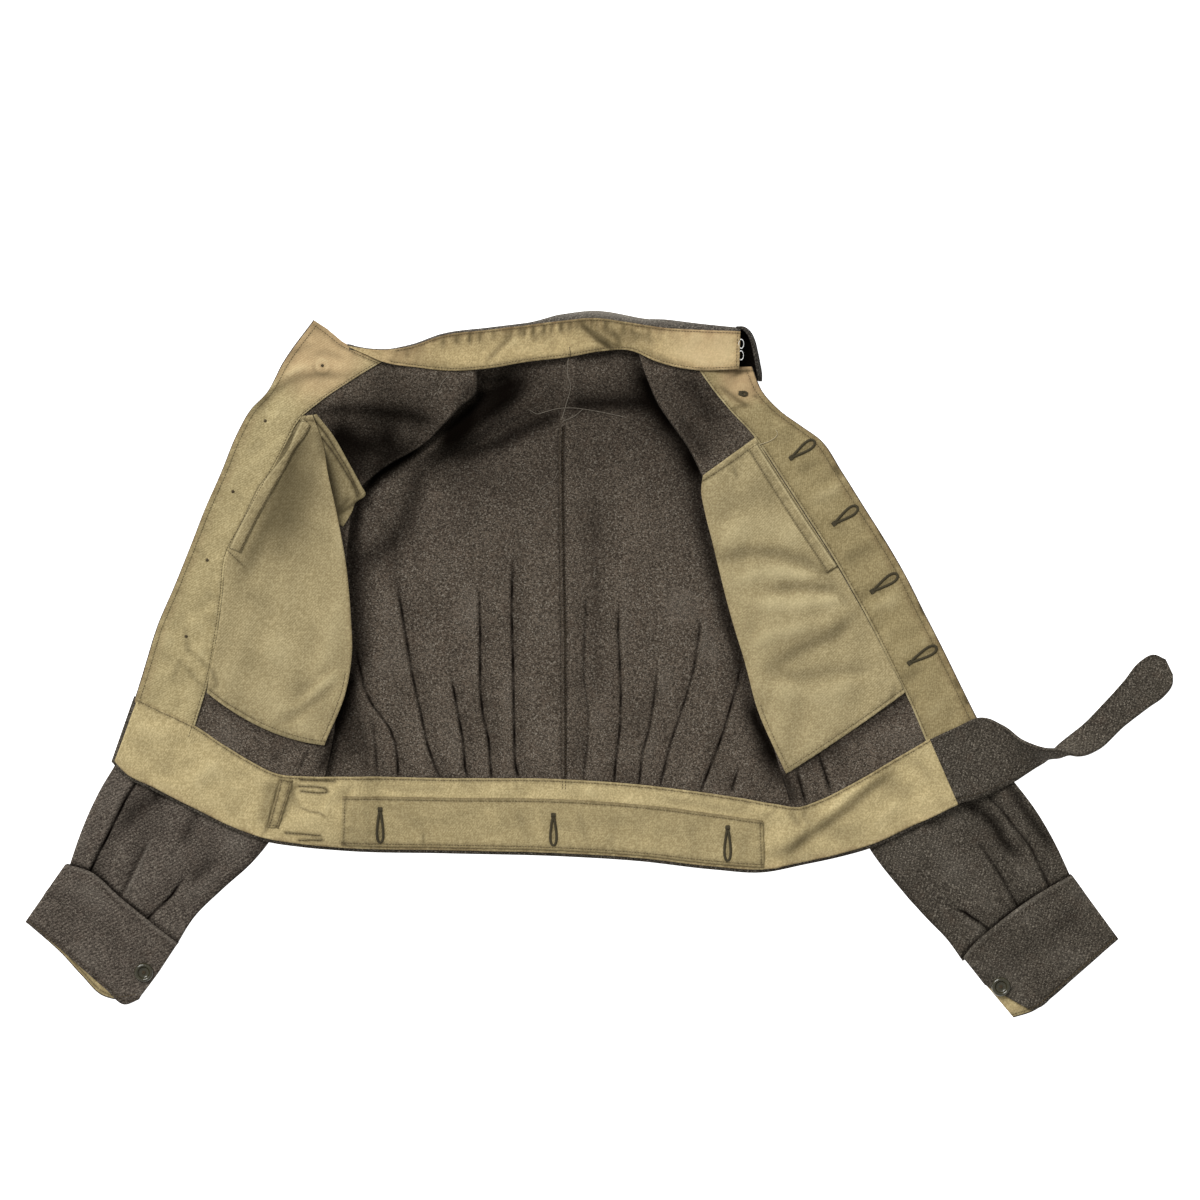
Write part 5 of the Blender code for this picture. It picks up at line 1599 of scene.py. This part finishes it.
@dataclass
class Sewing:
    """Stitches, buttonholes, button threads and loose ends."""

    room: Workroom
    stitch_length: float = 2.3
    stitch_pitch: float = 3.1
    stitch_width: float = 0.75
    meshes: dict[Thread, bmesh.types.BMesh] = field(default_factory=dict)

    def mesh(self, thread: Thread) -> bmesh.types.BMesh:
        """The mesh that gathers one thread's stitches."""
        if thread not in self.meshes:
            self.meshes[thread] = bmesh.new()
        return self.meshes[thread]

    def stitch(self, thread: Thread, start: Grid, end: Grid, width: float, rise: float) -> None:
        """Lay one stitch between two plan points.

        Args:
            thread: Its thread.
            start: Plan point where it comes up.
            end: Plan point where it goes down.
            width: Its thickness.
            rise: How far its middle stands above the cloth.
        """
        first, normal = self.room.down(*start)
        last, other = self.room.down(*end)
        middle = (first + last) / 2 + (normal + other).normalized() * rise * MM
        along = last - first
        if along.length < 1e-6 or along.length > 0.02:
            return
        side = (normal + other).normalized().cross(along).normalized()
        up = along.normalized().cross(side)
        frame = Matrix((along.normalized(), side, up)).transposed().to_4x4()
        frame.translation = middle
        frame = frame @ Matrix.Diagonal((along.length * 0.58, width * MM / 2, width * MM * 0.42, 1.0))
        bmesh.ops.create_icosphere(self.mesh(thread), subdivisions=1, radius=1.0, matrix=frame)

    def run(self, line: Grid, thread: Thread) -> None:
        """Stitch along a line."""
        points = resampled(line, self.stitch_pitch)
        for start, end in zip(points, points[1:]):
            share = self.stitch_length / self.stitch_pitch
            self.stitch(thread, start, start + (end - start) * share, self.stitch_width, 0.12)

    def loose(self, points: Course, thread: Thread, width: float) -> None:
        """Let a thread end lie loosely on the cloth.

        Args:
            points: Plan points of its course.
            thread: Its thread.
            width: Its thickness.
        """
        course = np.array(points, float)
        course = resampled(smooth(course, np.linspace(0, len(course) - 1, 8 * len(course))), 1.6)
        for start, end in zip(course, course[1:]):
            self.stitch(thread, start - (end - start) * 0.1, end, width, 0.35)

    def buttonhole(self, hole: Buttonhole, swell: float = 4.6) -> None:
        """Work a keyhole buttonhole with its bar.

        Args:
            hole: Its place.
            swell: How much wider its round end is than its bar.
        """
        bar = np.array([hole.bar_x, hole.bar_y], float)
        eye = np.array([hole.eye_x, hole.eye_y], float)
        along = (eye - bar) / norm(eye - bar)
        across = np.array([-along[1], along[0]])
        length = float(norm(eye - bar))
        outline = []
        for turn in np.linspace(-math.pi, math.pi, 65):
            share = 0.5 + 0.5 * math.cos(turn)
            wide = math.sin(turn) * (1.6 + swell * share**1.4)
            outline.append(bar + along * length * (0.10 + 0.88 * share) + across * wide)
        points = resampled(np.array(outline), 0.8)
        centre = points.mean(axis=0)
        for first, last in zip(points, points[1:]):
            out = np.array([last[1] - first[1], first[0] - last[0]])
            out /= max(norm(out), 1e-6)
            if out @ (first - centre) < 0:
                out = -out
            self.stitch(Thread.BUTTONHOLE, first - out * 1.2, first + out * 1.7, 1.6, 0.4)
        for shift in np.linspace(-1.9, 1.9, 7):
            start = bar + across * shift - along * 2.0
            self.stitch(Thread.BUTTONHOLE, start, start + along * 5.6, 1.4, 0.45)

    def button_thread(self, place: tuple[float, float]) -> None:
        """Threads where a button is sewn on from the other side."""
        spot = np.array(place)
        for angle in (20.0, 70.0, 115.0, 160.0):
            way = np.array([math.cos(math.radians(angle)), math.sin(math.radians(angle))])
            self.stitch(Thread.BROWN, spot - way * 2.1, spot + way * 2.1, 1.1, 0.15)

    def build(self) -> None:
        """Work every seam and buttonhole and hand the threads over."""
        for line, thread in self.room.seams:
            self.run(line, thread)
        for hole in FRONT_BUTTONHOLES:
            self.buttonhole(hole)
        for hole in WAIST_BUTTONHOLES:
            self.buttonhole(hole, 2.8)
        self.buttonhole(TOP_BUTTONHOLE, 0.0)
        for place in BUTTON_THREADS:
            self.button_thread(place)
        for points, thread, width in LOOSE_THREADS:
            self.loose(points, thread, width)
        for thread, bm in self.meshes.items():
            slot = Slot.WOOL_OUTSIDE if thread is Thread.BROWN else Slot.DRILL
            name = thread.name.lower()
            self.room.own(f"stitches_{name}", bm, Yarn(f"thread_{name}", thread), slot)


BUTTON_PAINT = Enamel("button_paint", (0.034, 0.030, 0.013), (0.10, 0.088, 0.050), 0.2, 0.1)
WHITE_METAL = Enamel("white_metal", (0.86, 0.86, 0.84), (0.60, 0.60, 0.57), 0.35, 0.25)


@dataclass
class Trim:
    """Cuff buttons and the hook eyes of the collar."""

    room: Workroom
    outline: Sequence[tuple[float, float]] = (
        (0.0, 1.7), (2.2, 1.7), (4.3, 1.5), (5.4, 2.0), (6.2, 3.4), (6.9, 4.1), (7.7, 4.3), (8.6, 4.1),
        (9.5, 3.3), (10.0, 2.4), (9.7, 1.3), (8.0, 0.5), (5.0, 0.1), (0.0, 0.1),
    )
    eye_half: tuple[float, float] = (2.6, 4.7)
    wire: float = 0.62

    @staticmethod
    def spin(bm: bmesh.types.BMesh, outline: list, steps: int, place: Vector, stretch: float = 1.0) -> None:
        """Spin an outline about Z, stretch what comes of it along X and set it in its place.

        Args:
            bm: The mesh that holds the outline.
            outline: Its vertices and edges.
            steps: Number of steps round.
            place: Where its origin goes.
            stretch: Factor along X.
        """
        turn = {"cent": (0, 0, 0), "axis": (0, 0, 1), "angle": 2 * math.pi, "steps": steps, "use_merge": True}
        bmesh.ops.spin(bm, geom=outline, **turn)
        bmesh.ops.remove_doubles(bm, verts=bm.verts[:], dist=1e-6)
        bmesh.ops.scale(bm, verts=bm.verts[:], vec=(stretch, 1.0, 1.0))
        bmesh.ops.recalc_face_normals(bm, faces=bm.faces[:])
        bmesh.ops.translate(bm, verts=bm.verts[:], vec=place)

    def button(self, side: Side) -> None:
        """Turn a dished button with a rim and a sewn middle."""
        node = f"cuff_button_{side}"
        low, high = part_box(node)
        place = Vector(((low.x + high.x) / 2, (low.y + high.y) / 2, low.z))
        bm = bmesh.new()
        spots = [bm.verts.new((radius * MM, 0.0, height * MM)) for radius, height in self.outline]
        edges = [bm.edges.new(pair) for pair in zip(spots, spots[1:])]
        self.spin(bm, [*spots, *edges], 48, place)
        self.room.own(f"button_{side}", bm, BUTTON_PAINT, Slot.BUTTON, node)
        bm = bmesh.new()
        strand = Matrix.Diagonal((2.6 * MM, 0.5 * MM, 0.5 * MM, 1))
        middle = Matrix.Translation(place + Vector((0, 0, 2.0 * MM)))
        for angle in (35.0, 125.0):
            turn = middle @ Matrix.Rotation(math.radians(angle), 4, "Z")
            for shift in (-0.6, 0.6):
                frame = turn @ Matrix.Translation((0, shift * MM, 0)) @ strand
                bmesh.ops.create_icosphere(bm, subdivisions=2, radius=1.0, matrix=frame)
        self.room.own(f"button_thread_{side}", bm, Yarn("thread_button", Thread.BROWN), Slot.BUTTON)

    def eye(self, node: str) -> None:
        """Bend a hook eye from wire."""
        half_width, half_height = self.eye_half
        low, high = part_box(node)
        bm = bmesh.new()
        ring = bmesh.ops.create_circle(bm, segments=10, radius=self.wire * MM)
        bmesh.ops.rotate(bm, verts=bm.verts[:], cent=(0, 0, 0), matrix=Matrix.Rotation(math.pi / 2, 3, "X"))
        bmesh.ops.translate(bm, verts=bm.verts[:], vec=(half_height * MM, 0, 0))
        self.spin(bm, [*ring["verts"], *bm.edges[:]], 36, (low + high) / 2, half_width / half_height)
        self.room.own(f"{node}_wire", bm, WHITE_METAL, Slot.WIRE, node)

    def build(self) -> None:
        """Make the buttons and the eyes."""
        for side in Side:
            self.button(side)
        for node in ("hook_eye_1", "hook_eye_2"):
            self.eye(node)


@dataclass
class Studio:
    """Pale lit floor, soft light and a camera straight above."""

    camera_height: float = 3.6
    frame_width: float = 1.26
    middle: tuple[float, float] = (0.0005, 0.0673)
    cloth_height: float = 0.008
    sun_from: tuple[float, float, float] = (-0.55, 0.75, 0.85)
    floor_z: float = -0.0006
    sun_energy: float = 2.6
    sun_spread: float = 28.0
    room_light: float = 0.50

    def build(self) -> None:
        """Set up the floor, the lights and the camera."""
        scene = bpy.context.scene
        white = (1.0, 1.0, 1.0, 1.0)
        bm = bmesh.new()
        bmesh.ops.create_grid(bm, x_segments=8, y_segments=8, size=4.0)
        bmesh.ops.translate(bm, verts=bm.verts[:], vec=(0, 0, self.floor_z))
        floor = placed("floor", poured("floor", bm))
        shade = Shade("floor_paper")
        shade.give(shade.shader, Roughness=0.9, Specular_IOR_Level=0.0)
        shade.give(shade.shader, Emission_Color=white, Emission_Strength=1.0)
        grain = shade.noise(shade.places(), 6.0, 2.0)
        paper = shade.mix(grain, (0.95, 0.95, 0.95), (0.97, 0.97, 0.97))
        floor.data.materials.append(shade.finish(paper, grain, 0.0001, 0.02))
        light = bpy.data.lights.new("window", "SUN")
        light.energy = self.sun_energy
        light.angle = math.radians(self.sun_spread)
        sun = placed("window", light)
        sun.rotation_euler = Vector(self.sun_from).to_track_quat("Z", "Y").to_euler()
        world = bpy.data.worlds.new("soft_room")
        world.use_nodes = True
        sky = world.node_tree.nodes["Background"]
        sky.inputs["Color"].default_value = white
        sky.inputs["Strength"].default_value = self.room_light
        scene.world = world
        scene.view_settings.view_transform = "Standard"
        camera = bpy.data.cameras.new("above")
        distance = self.camera_height - self.cloth_height
        camera.sensor_width = 36.0
        camera.lens = camera.sensor_width * distance / self.frame_width
        holder = placed("above", camera)
        holder.location = (*self.middle, self.camera_height)
        scene.camera = holder


CENTRE_SEAM = ((-118, -38), (38, -38.5), (113, -40), (238, -41.5), (321, -33))
LAPEL_DIP = ((0.0, 0.0), (0.2, 0.15), (0.42, 1.0), (0.62, 0.85), (1.0, 0.0))
COLLAR_GATHER = ((-240, 0.2), (-160, 1.0), (40, 1.0), (80, 0.3), (150, 0.15))
# Rows of height zero only paint shade, and shades near or above one paint the deep shadows of the hollows
# under the shoulders.
LEFT_BACK_CREASES = drawn(
    Crease, (11, 0, 0.5, -281, -66, -284, -90, -279, -112),
    (18, -1.5, 1.1, -72, 308, -90, 293, -110, 279, -132, 264, -152, 244, -172, 223),
    (11, -1, 1.2, -78, 303, -96, 286, -114, 274, -134, 261, -152, 243, -172, 222),
    (9, -1, 1, -134, 284, -118, 283, -102, 287), (6, -1, 0.55, -132, 299, -110, 300, -90, 304),
    (7, 2, -0.03, -58, 286, -90, 264, -120, 247, -150, 231),
    (10, -1.5, 0.78, -26, 271, -58, 258, -84, 246, -107, 233, -130, 226, -172, 215),
    (13, -1.5, 0.62, -172, 222, -191, 195, -199, 168, -206, 147, -228, 123, -244, 108, -256, 90),
    (7, 0, 0.72, -188, 229, -232, 197, -254, 172, -258, 142, -262, 100),
    (5, 0, 1.1, -184, 231, -212, 214, -234, 200, -250, 180), (20, 0, 0.25, -178, 200, -140, 203, -108, 214),
    (12, 0, 0.7, -258, 150, -257, 96, -253, 50, -252, 14, -258, -26),
    (8, -0.8, 0.35, -216, 140, -216, 100, -210, 60), (12, 0, 0.95, -262, 0, -266, -26, -276, -58, -286, -84),
    (16, 0, 0.62, -264, -30, -262, -70, -262, -104), (8, -0.8, 0.45, -250, -60, -246, -90, -244, -116),
    (40, 0, 0.15, -130, 180, -80, 215, -50, 225), (18, 0, 0.28, -60, 280, -100, 254, -150, 228),
)
RIGHT_BACK_CREASES = drawn(
    Crease, (11, -1.5, 0.86, 70, 276, 21, 275, -20, 274, -44, 268),
    (10, 1.5, -0.04, 40, 300, 10, 300, -20, 298),
    (17, 0, 1, 34, 333, 45, 303, 57, 276, 75, 249, 92, 224, 106, 195, 108, 170),
    (7, 0, 0.55, 20, 328, 0, 325, -30, 322),
    (11, 0, 0.78, 106, 199, 102, 184, 106, 160, 113, 132, 122, 95, 133, 52, 147, 6, 161, -46),
    (12, 0, 1, 155, -30, 165, -62, 180, -92, 195, -114), (14, 0, 0.6, 170, -80, 186, -112, 196, -128),
    (9, -1.2, 0.3, -8, 190, -6, 120, -4, 40, -4, -40), (16, 1, -0.04, 50, 180, 44, 100),
    (40, 0, 0.15, -20, 240, 30, 245, 70, 220),
)
LEFT_FRONT_CREASES = drawn(
    Crease, (8, -1.4, 0.75, -302, 264, -263, 268, -238, 266, -200, 262, -170, 252),
    (30, 0, 0.95, -292, 252, -250, 230, -200, 240), (16, -1, 0.72, -285, 246, -263, 218, -246, 186),
    (11, -0.8, 0.75, -182, 238, -201, 228, -223, 216, -243, 186),
    (34, 0, 0.34, -250, 305, -200, 290, -150, 290), (18, 0, 0.62, -258, 262, -215, 262, -176, 254),
    (9, 0, 0.55, -407, -36, -350, -64, -292, -84), (12, 1.4, -0.04, -215, 296, -180, 300, -150, 300),
    (7, 0, 0.5, -133, 300, -140, 284, -152, 268), (9, 0, 0.8, -280, -70, -284, -92, -296, -114),
    (2, -0.8, 0.7, -306, -88, -316, -110), (9, 0, 0.25, -330, -80, -345, -100),
)
RIGHT_FRONT_CREASES = drawn(
    Crease, (2.4, -1, 1.1, 206, -110, 210, -124, 216, -146), (2.4, -1, 1.1, 229, -94, 235, -110, 242, -132),
    (9, 0, 0.8, 185, -110, 196, -124, 204, -148), (9, 0, 0.3, 246, -84, 256, -116),
    (9, -0.8, 0.45, 80, 262, 95, 240, 118, 214), (34, 0, 0.42, 60, 312, 100, 270, 130, 225),
    (10, 0, 0.55, 200, -116, 255, -78, 318, -38), (10, 1, -0.03, 60, 318, 90, 300, 110, 280),
    (11, -0.6, 0.55, 88, 304, 104, 282, 122, 252), (8, 0, 0.3, 108, 300, 128, 276, 140, 262),
)


def lapel_ring(radius: float, start: float, end: float, count: int) -> list[float]:
    """The x and y of points round the button that shows through the left lapel."""
    x, y = BUTTON_THREADS[0]
    turns = np.linspace(start, end, count)
    return [part for turn in turns for part in (x + radius * math.cos(turn), y + radius * math.sin(turn))]


LEFT_FACING_CREASES = drawn(
    Crease,
    (5, -3, 0.5, -376, 256, -361, 270, -345, 285, -326, 298, -311, 303, -293, 305, -271, 303, -250, 307),
    (9, 0, 0.14, -330, 290, -300, 294, -270, 294), (6, 2.4, -0.2, -362, 280, -338, 299, -314, 311, -296, 314),
    (1.7, 0.8, -0.25, *lapel_ring(6.4, 0, 6.6, 15)), (1.7, -0.4, 0.3, *lapel_ring(9.6, 2.6, 6, 9)),
    (3.5, -1.6, 0.3, -330, 324, -318, 331, -300, 336), (4, -1.4, 0.26, -301, 326, -287, 328, -268, 321),
    (3.2, -1.4, 0.3, -435, 42, -432, 10), (3.5, -1.4, 0.3, -438, 9, -450, -18),
    (3, -1.4, 0.28, -438, 3, -416, -25), (3, -1.4, 0.28, -433, 18, -411, -3),
    (4, 1.2, -0.15, -420, 14, -408, 4), (4, -1, 0.22, -413, 112, -426, 126),
    (4, -0.8, 0.18, -385, 182, -372, 172), (4, -0.8, 0.18, -352, 256, -360, 246),
    (5, -1, 0.2, -415, 78, -398, 66), (4, -1, 0.18, -418, 52, -402, 44), (4, -0.8, 0.16, -470, 22, -452, 6),
    (5, 1, -0.12, -455, 50, -452, 20),
)
# The first five rows darken worn spots along the edge, where the wool shows through; the rows at the
# buttonholes paint shade into their slits.
RIGHT_FACING_CREASES = drawn(
    Crease, (2, -0.5, 0.8, 246, 209, 252, 199), (2, -0.5, 0.8, 292, 143, 299, 131),
    (2, -0.5, 0.8, 334, 64, 341, 52), (2, -0.5, 0.8, 371, -14, 378, -27), (2, -0.5, 0.8, 380, -31, 386, -42),
    *((3.5, -0.6, 0.4, *hole) for hole in FRONT_BUTTONHOLES), (3, -1.6, 0.55, 124, 293, 148, 275, 158, 271),
    (2, -0.5, 0.55, 136, 302, 144, 305.4, 158, 311), (1.8, -0.5, 0.6, 160, 283, 166, 280.6),
    (2.2, -1.2, 0.42, 136, 268, 156, 273), (4, 1.4, -0.2, 126, 282, 140, 268),
    (8, -2.2, 0.36, 252, 110, 270, 118, 288, 127), (7, -2, 0.34, 266, 68, 280, 76, 296, 84),
    (6, 1.6, -0.14, 283, 56, 310, 72), (6, -1.8, 0.28, 313, -16, 342, 0), (5, -1.4, 0.2, 320, -48, 333, -29),
    (6, -1.6, 0.22, 205, 203, 234, 214), (6, -1.4, 0.2, 238, 152, 262, 138),
    (7, 1.4, -0.12, 228, 176, 250, 186), (7, -1.2, 0.18, 180, 236, 206, 240),
)
LEFT_BAG_CREASES = drawn(
    Crease, (11, -2.4, 0.56, -312, 240, -324, 215, -338, 175, -352, 142, -369, 108, -378, 90),
    (16, -0.5, 0.34, -318, 180, -328, 140, -338, 104),
    (27, -0.8, 0.56, -302, 246, -308, 210, -318, 170, -330, 130),
    (9, -0.6, 0.25, -300, 250, -310, 232, -318, 215),
    (7, 2.4, -0.1, -286, 228, -282, 189, -276, 155, -269, 106),
    (5, -1.2, 0.4, -296, 248, -290, 230, -286, 212), (3, 0, 0.8, -317, 254, -329, 231, -341, 214, -356, 194),
    (5, -1.8, 0.26, -338, -62, -309, -46, -278, -22), (6, 1.4, -0.12, -330, -50, -300, -30, -272, -6),
    (5, -1.4, 0.18, -320, -35, -279, 1), (2.5, -1, 0.35, -411, 1, -401, -19, -407, -28),
    (10, -1.2, 0.2, -372, 74, -350, 62), (12, 1.2, -0.08, -360, 20, -330, 5),
    (12, 1.2, -0.06, -295, 60, -285, 0),
)
LEFT_LAYER_CREASES = drawn(
    Crease, (8, 0, 0.62, -288, 228, -283, 196, -276, 158), (3, -0.8, 0.6, -262, 176, -276, 160),
    (2.4, -0.8, 0.8, -250, 176, -262, 166, -276, 157), (3, 0.8, -0.2, -280, 232, -262, 204, -249, 180),
)
LEFT_LAYER_SEAMS = (
    ((-300, 258), (-287, 242), (-264, 205), (-252, 179)),
    ((-291, 238), (-278, 221), (-259, 190), (-254, 176)),
)
RIGHT_BAG_CREASES = drawn(
    Crease, (7, -2.6, 0.42, 122, 109, 140, 114, 156, 118, 185, 117, 214, 111, 238, 96),
    (8, 2.2, -0.26, 138, 88, 165, 95, 185, 97, 228, 91), (6, -2, 0.4, 176, 79, 205, 83, 230, 82, 250, 77),
    (8, 2.2, -0.24, 160, 66, 200, 64, 228, 66, 258, 72), (8, -2.6, 0.5, 272, 56, 245, 32, 208, 18, 178, -4),
    (8, 2, -0.16, 152, 22, 199, 36, 234, 46), (7, -1.8, 0.28, 174, -5, 205, -11, 245, -6, 288, -3),
    (9, 1.4, -0.1, 164, -25, 228, -33, 288, -15), (12, -1.2, 0.22, 134, 160, 165, 182, 190, 170),
    (14, 1, -0.14, 130, 140, 165, 146, 222, 130), (6, -1, 0.2, 240, 90, 262, 60),
    (2.5, -1, 0.35, 310, -20, 305, -38), (2, -0.8, 0.35, 140, 208, 144, 196),
)
BAND_CREASES = drawn(
    Crease, (7, 2.6, -0.14, 205, -180, 228, -163, 250, -146, 270, -128, 288, -112),
    (5.5, -2.6, 0.46, 180, -204, 198, -195, 218, -182, 240, -167, 261, -151, 282, -133, 302, -116, 312, -104),
    (26, 0, 0.16, 190, -172, 235, -166, 290, -150), (13, 0, 0.26, 284, -114, 312, -126, 330, -132),
    (8, 1.4, -0.08, 290, -170, 315, -140, 330, -112), (5, -1.6, 0.28, 196, -205, 214, -184, 226, -156),
    (4, -1.2, 0.38, 199, -151, 203, -160, 211, -170), (3, -1, 0.28, 214, -150, 214, -160, 220, -168),
    (4, -0.8, 0.2, 186, -148, 180, -156, 170, -160), (9, -1, 0.14, -440, -70, -452, -100, -458, -118),
    (9, 1.6, -0.1, -400, -95, -432, -136), (7, -2, 0.42, -342, -122, -356, -168),
    (1.8, -1, 0.9, -335.5, -118, -350, -172, -355, -179), (2.6, -0.8, 0.35, -318, -122, -334, -168),
    (1.4, -0.6, 0.55, -316, -148, -306, -153, -293, -155, -286, -161),
    (4, -1.2, 0.35, -318, -150, -322, -135, -318, -122), (4, 1.4, -0.15, -270, -122, -284, -140, -290, -160),
    (3, -1, 0.22, -258, -124, -276, -148), (4, -1, 0.22, -230, -128, -200, -132, -160, -130),
    (4, -1, 0.2, -90, -126, -75, -138), (4, 1, -0.12, -16, -128, -4, -140),
    (4, -1, 0.22, 60, -140, 110, -148, 150, -156), (5, -1.2, 0.15, 330, -100, 348, -118),
)
# The rows at the buttonholes paint shade into their slits.
STRIP_CREASES = drawn(
    Crease, *((3, -0.6, 0.4, *hole) for hole in WAIST_BUTTONHOLES), (4, -1, 0.18, -256, -148, -262, -178),
    (6, -1.2, 0.16, -215, -152, -190, -168, -175, -186), (2, -0.8, 0.4, -186, -176, -186, -188),
    (6, 1.2, -0.12, -120, -150, -105, -172), (5, -1.2, 0.2, -88, -150, -76, -184),
    (4, 1.2, -0.12, -66, -150, -60, -186), (4, -1.2, 0.2, -22, -152, -14, -190),
    (5, -1, 0.14, 20, -160, 8, -190), (6, 1, -0.1, 56, -166, 48, -196), (5, -1, 0.16, 96, -166, 100, -198),
    (5, -1, 0.16, 154, -176, 148, -204),
)
COLLAR_CREASES = drawn(
    Crease, (3.2, -1.8, 0.85, -20, 358, -10, 348, 1, 340, 14, 332),
    (2.6, -1.2, 0.65, -10, 345, 3, 337, 15, 331), (3, -1.2, 0.6, 12, 349, 20, 341, 19, 333),
    (10, -1, 0.42, -4, 352, 18, 342, 44, 338), (5, -1, 0.3, 30, 350, 44, 344, 58, 336),
    (1.5, -0.8, 0.6, -14, 353, -2, 347, 9, 339, 22, 332), (1.7, -0.6, 0.4, 30, 352, 40, 345, 36, 338),
    (1.7, -0.6, 0.35, 52, 352, 50, 343), (3.4, -1.4, 0.42, -90, 346, -106, 332, -120, 316),
    (4, 1.4, -0.2, -84, 346, -98, 332, -112, 317), (4, -1, 0.3, -62, 352, -70, 338),
    (5, 1, -0.12, -45, 350, -40, 330), (3, 1.2, -0.18, 40, 326, 70, 315, 98, 311),
    (3, -1, 0.3, 44, 331, 72, 319, 100, 314), (6, -0.8, 0.14, -200, 330, -190, 316),
)
PUCKERS = (-150, -136, -126, -111, -93, -84, -78, -70, -58, -50, -40, -30, -24, -18, -8, 6)
LEFT_MOUTH = table(
    BandRow, (-312, 258, -303, 251), (-319, 244, -309, 240), (-328, 224, -320, 226), (-345, 203, -331, 204),
    (-357, 189, -341, 187), (-369, 165, -355, 162), (-389, 123, -377, 118),
)
RIGHT_MOUTH = table(
    BandRow, (164, 233, 154, 227), (188, 196, 177, 190), (219, 148, 208, 142), (249, 104, 238, 97),
)
LEFT_SEAMS = (((-391, 121), (-374, 104)),)
RIGHT_SEAMS = (((252, 105), (236, 97)),)
BAND_MARKS = (
    ((-316, -127), (-296, -127.5), (-282, -130.5), (-284, -133), (-296, -134), (-314, -132)),
    ((-314, -120.5), (-278, -121.7)),
    ((-330, -176), (-293, -179)),
    ((-316, -184), (-291, -183.5)),
)
LOOSE_THREADS = (
    (((-74, 268), (-66, 264), (-58, 266), (-47, 269), (-31, 270), (0, 266), (28, 260)), Thread.PALE, 0.8),
    (((-39, 256), (-26, 262), (-18, 269)), Thread.PALE, 0.8),
    (((-44, 205), (-49, 194), (-58, 189), (-63, 184), (-62, 176), (-55, 172), (-61, 165)), Thread.PALE, 0.7),
    (((-158, 304), (-166, 294), (-169, 287)), Thread.PALE, 0.8),
    (((-33, 322), (-34, 306), (-31, 294), (-36, 272), (-40, 258)), Thread.PALE, 0.9),
    (((167, 231), (178, 235), (183, 238), (186, 243), (184, 247)), Thread.LIGHT, 1.2),
    (((-36, -112), (-28, -110), (-20, -118), (-16, -121), (-14, -118)), Thread.BROWN, 0.9),
    (((-38, 45), (-33, 36), (-37, 28), (-34, 18)), Thread.BROWN, 0.7),
    (((-32, 333), (-31, 326), (-32, 318)), Thread.BROWN, 0.8),
)


def main() -> None:
    """Lay the tunic out, sew it and light it."""
    logging.basicConfig(level=logging.INFO, format="%(message)s")
    for item in list(bpy.data.objects):
        bpy.data.objects.remove(item, do_unlink=True)
    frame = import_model()
    room = Workroom(frame["nodes"])
    arms = (
        (Side.LEFT, LEFT_SLEEVE, LEFT_SLEEVE_FOLDS, LEFT_CUFF, WOOL_LEFT_ARM, LEFT_SLEEVE_CREASES),
        (Side.RIGHT, RIGHT_SLEEVE, RIGHT_SLEEVE_FOLDS, RIGHT_CUFF, WOOL_RIGHT_ARM, RIGHT_SLEEVE_CREASES),
    )
    for arm in arms:
        Sleeve(room, *arm).build()
    band = Waistband(room, WAISTBAND, STRAP, TUCK, BAND_CREASES, STRIP_CREASES, BAND_MARKS)
    band.wool()
    left = BodySide(
        room, Side.LEFT, LEFT_BODY, LEFT_FOLDS, DRILL_FACING, 0.6,
        LEFT_BACK_CREASES, LEFT_FRONT_CREASES, LEFT_FACING_CREASES,
        edge_stitch=4.8, blush=(-292.0, 325.0, 48.0), lapel_dip=4.5,
    )
    right = BodySide(
        room, Side.RIGHT, RIGHT_BODY, RIGHT_FOLDS, DRILL_RIGHT, -0.2,
        RIGHT_BACK_CREASES, RIGHT_FRONT_CREASES, RIGHT_FACING_CREASES,
        blush=(150.0, 300.0, 24.0), top_lift=3.0,
    )
    for half in (left, right):
        half.back()
    for half in (left, right):
        half.front()
    pockets = (
        (Side.LEFT, LEFT_BAG, LEFT_MOUTH, LEFT_BAG_LAYER, LEFT_BAG_CREASES, LEFT_SEAMS,
         LEFT_LAYER_CREASES, LEFT_LAYER_SEAMS),
        (Side.RIGHT, RIGHT_BAG, RIGHT_MOUTH, (), RIGHT_BAG_CREASES, RIGHT_SEAMS),
    )
    for pocket in pockets:
        Pocket(room, *pocket).build()
    band.build()
    Collar(room, COLLAR, COLLAR_END, COLLAR_CREASES).build()
    room.close()
    Sewing(room).build()
    Trim(room).build()
    Studio().build()


if __name__ == "__main__":
    main()
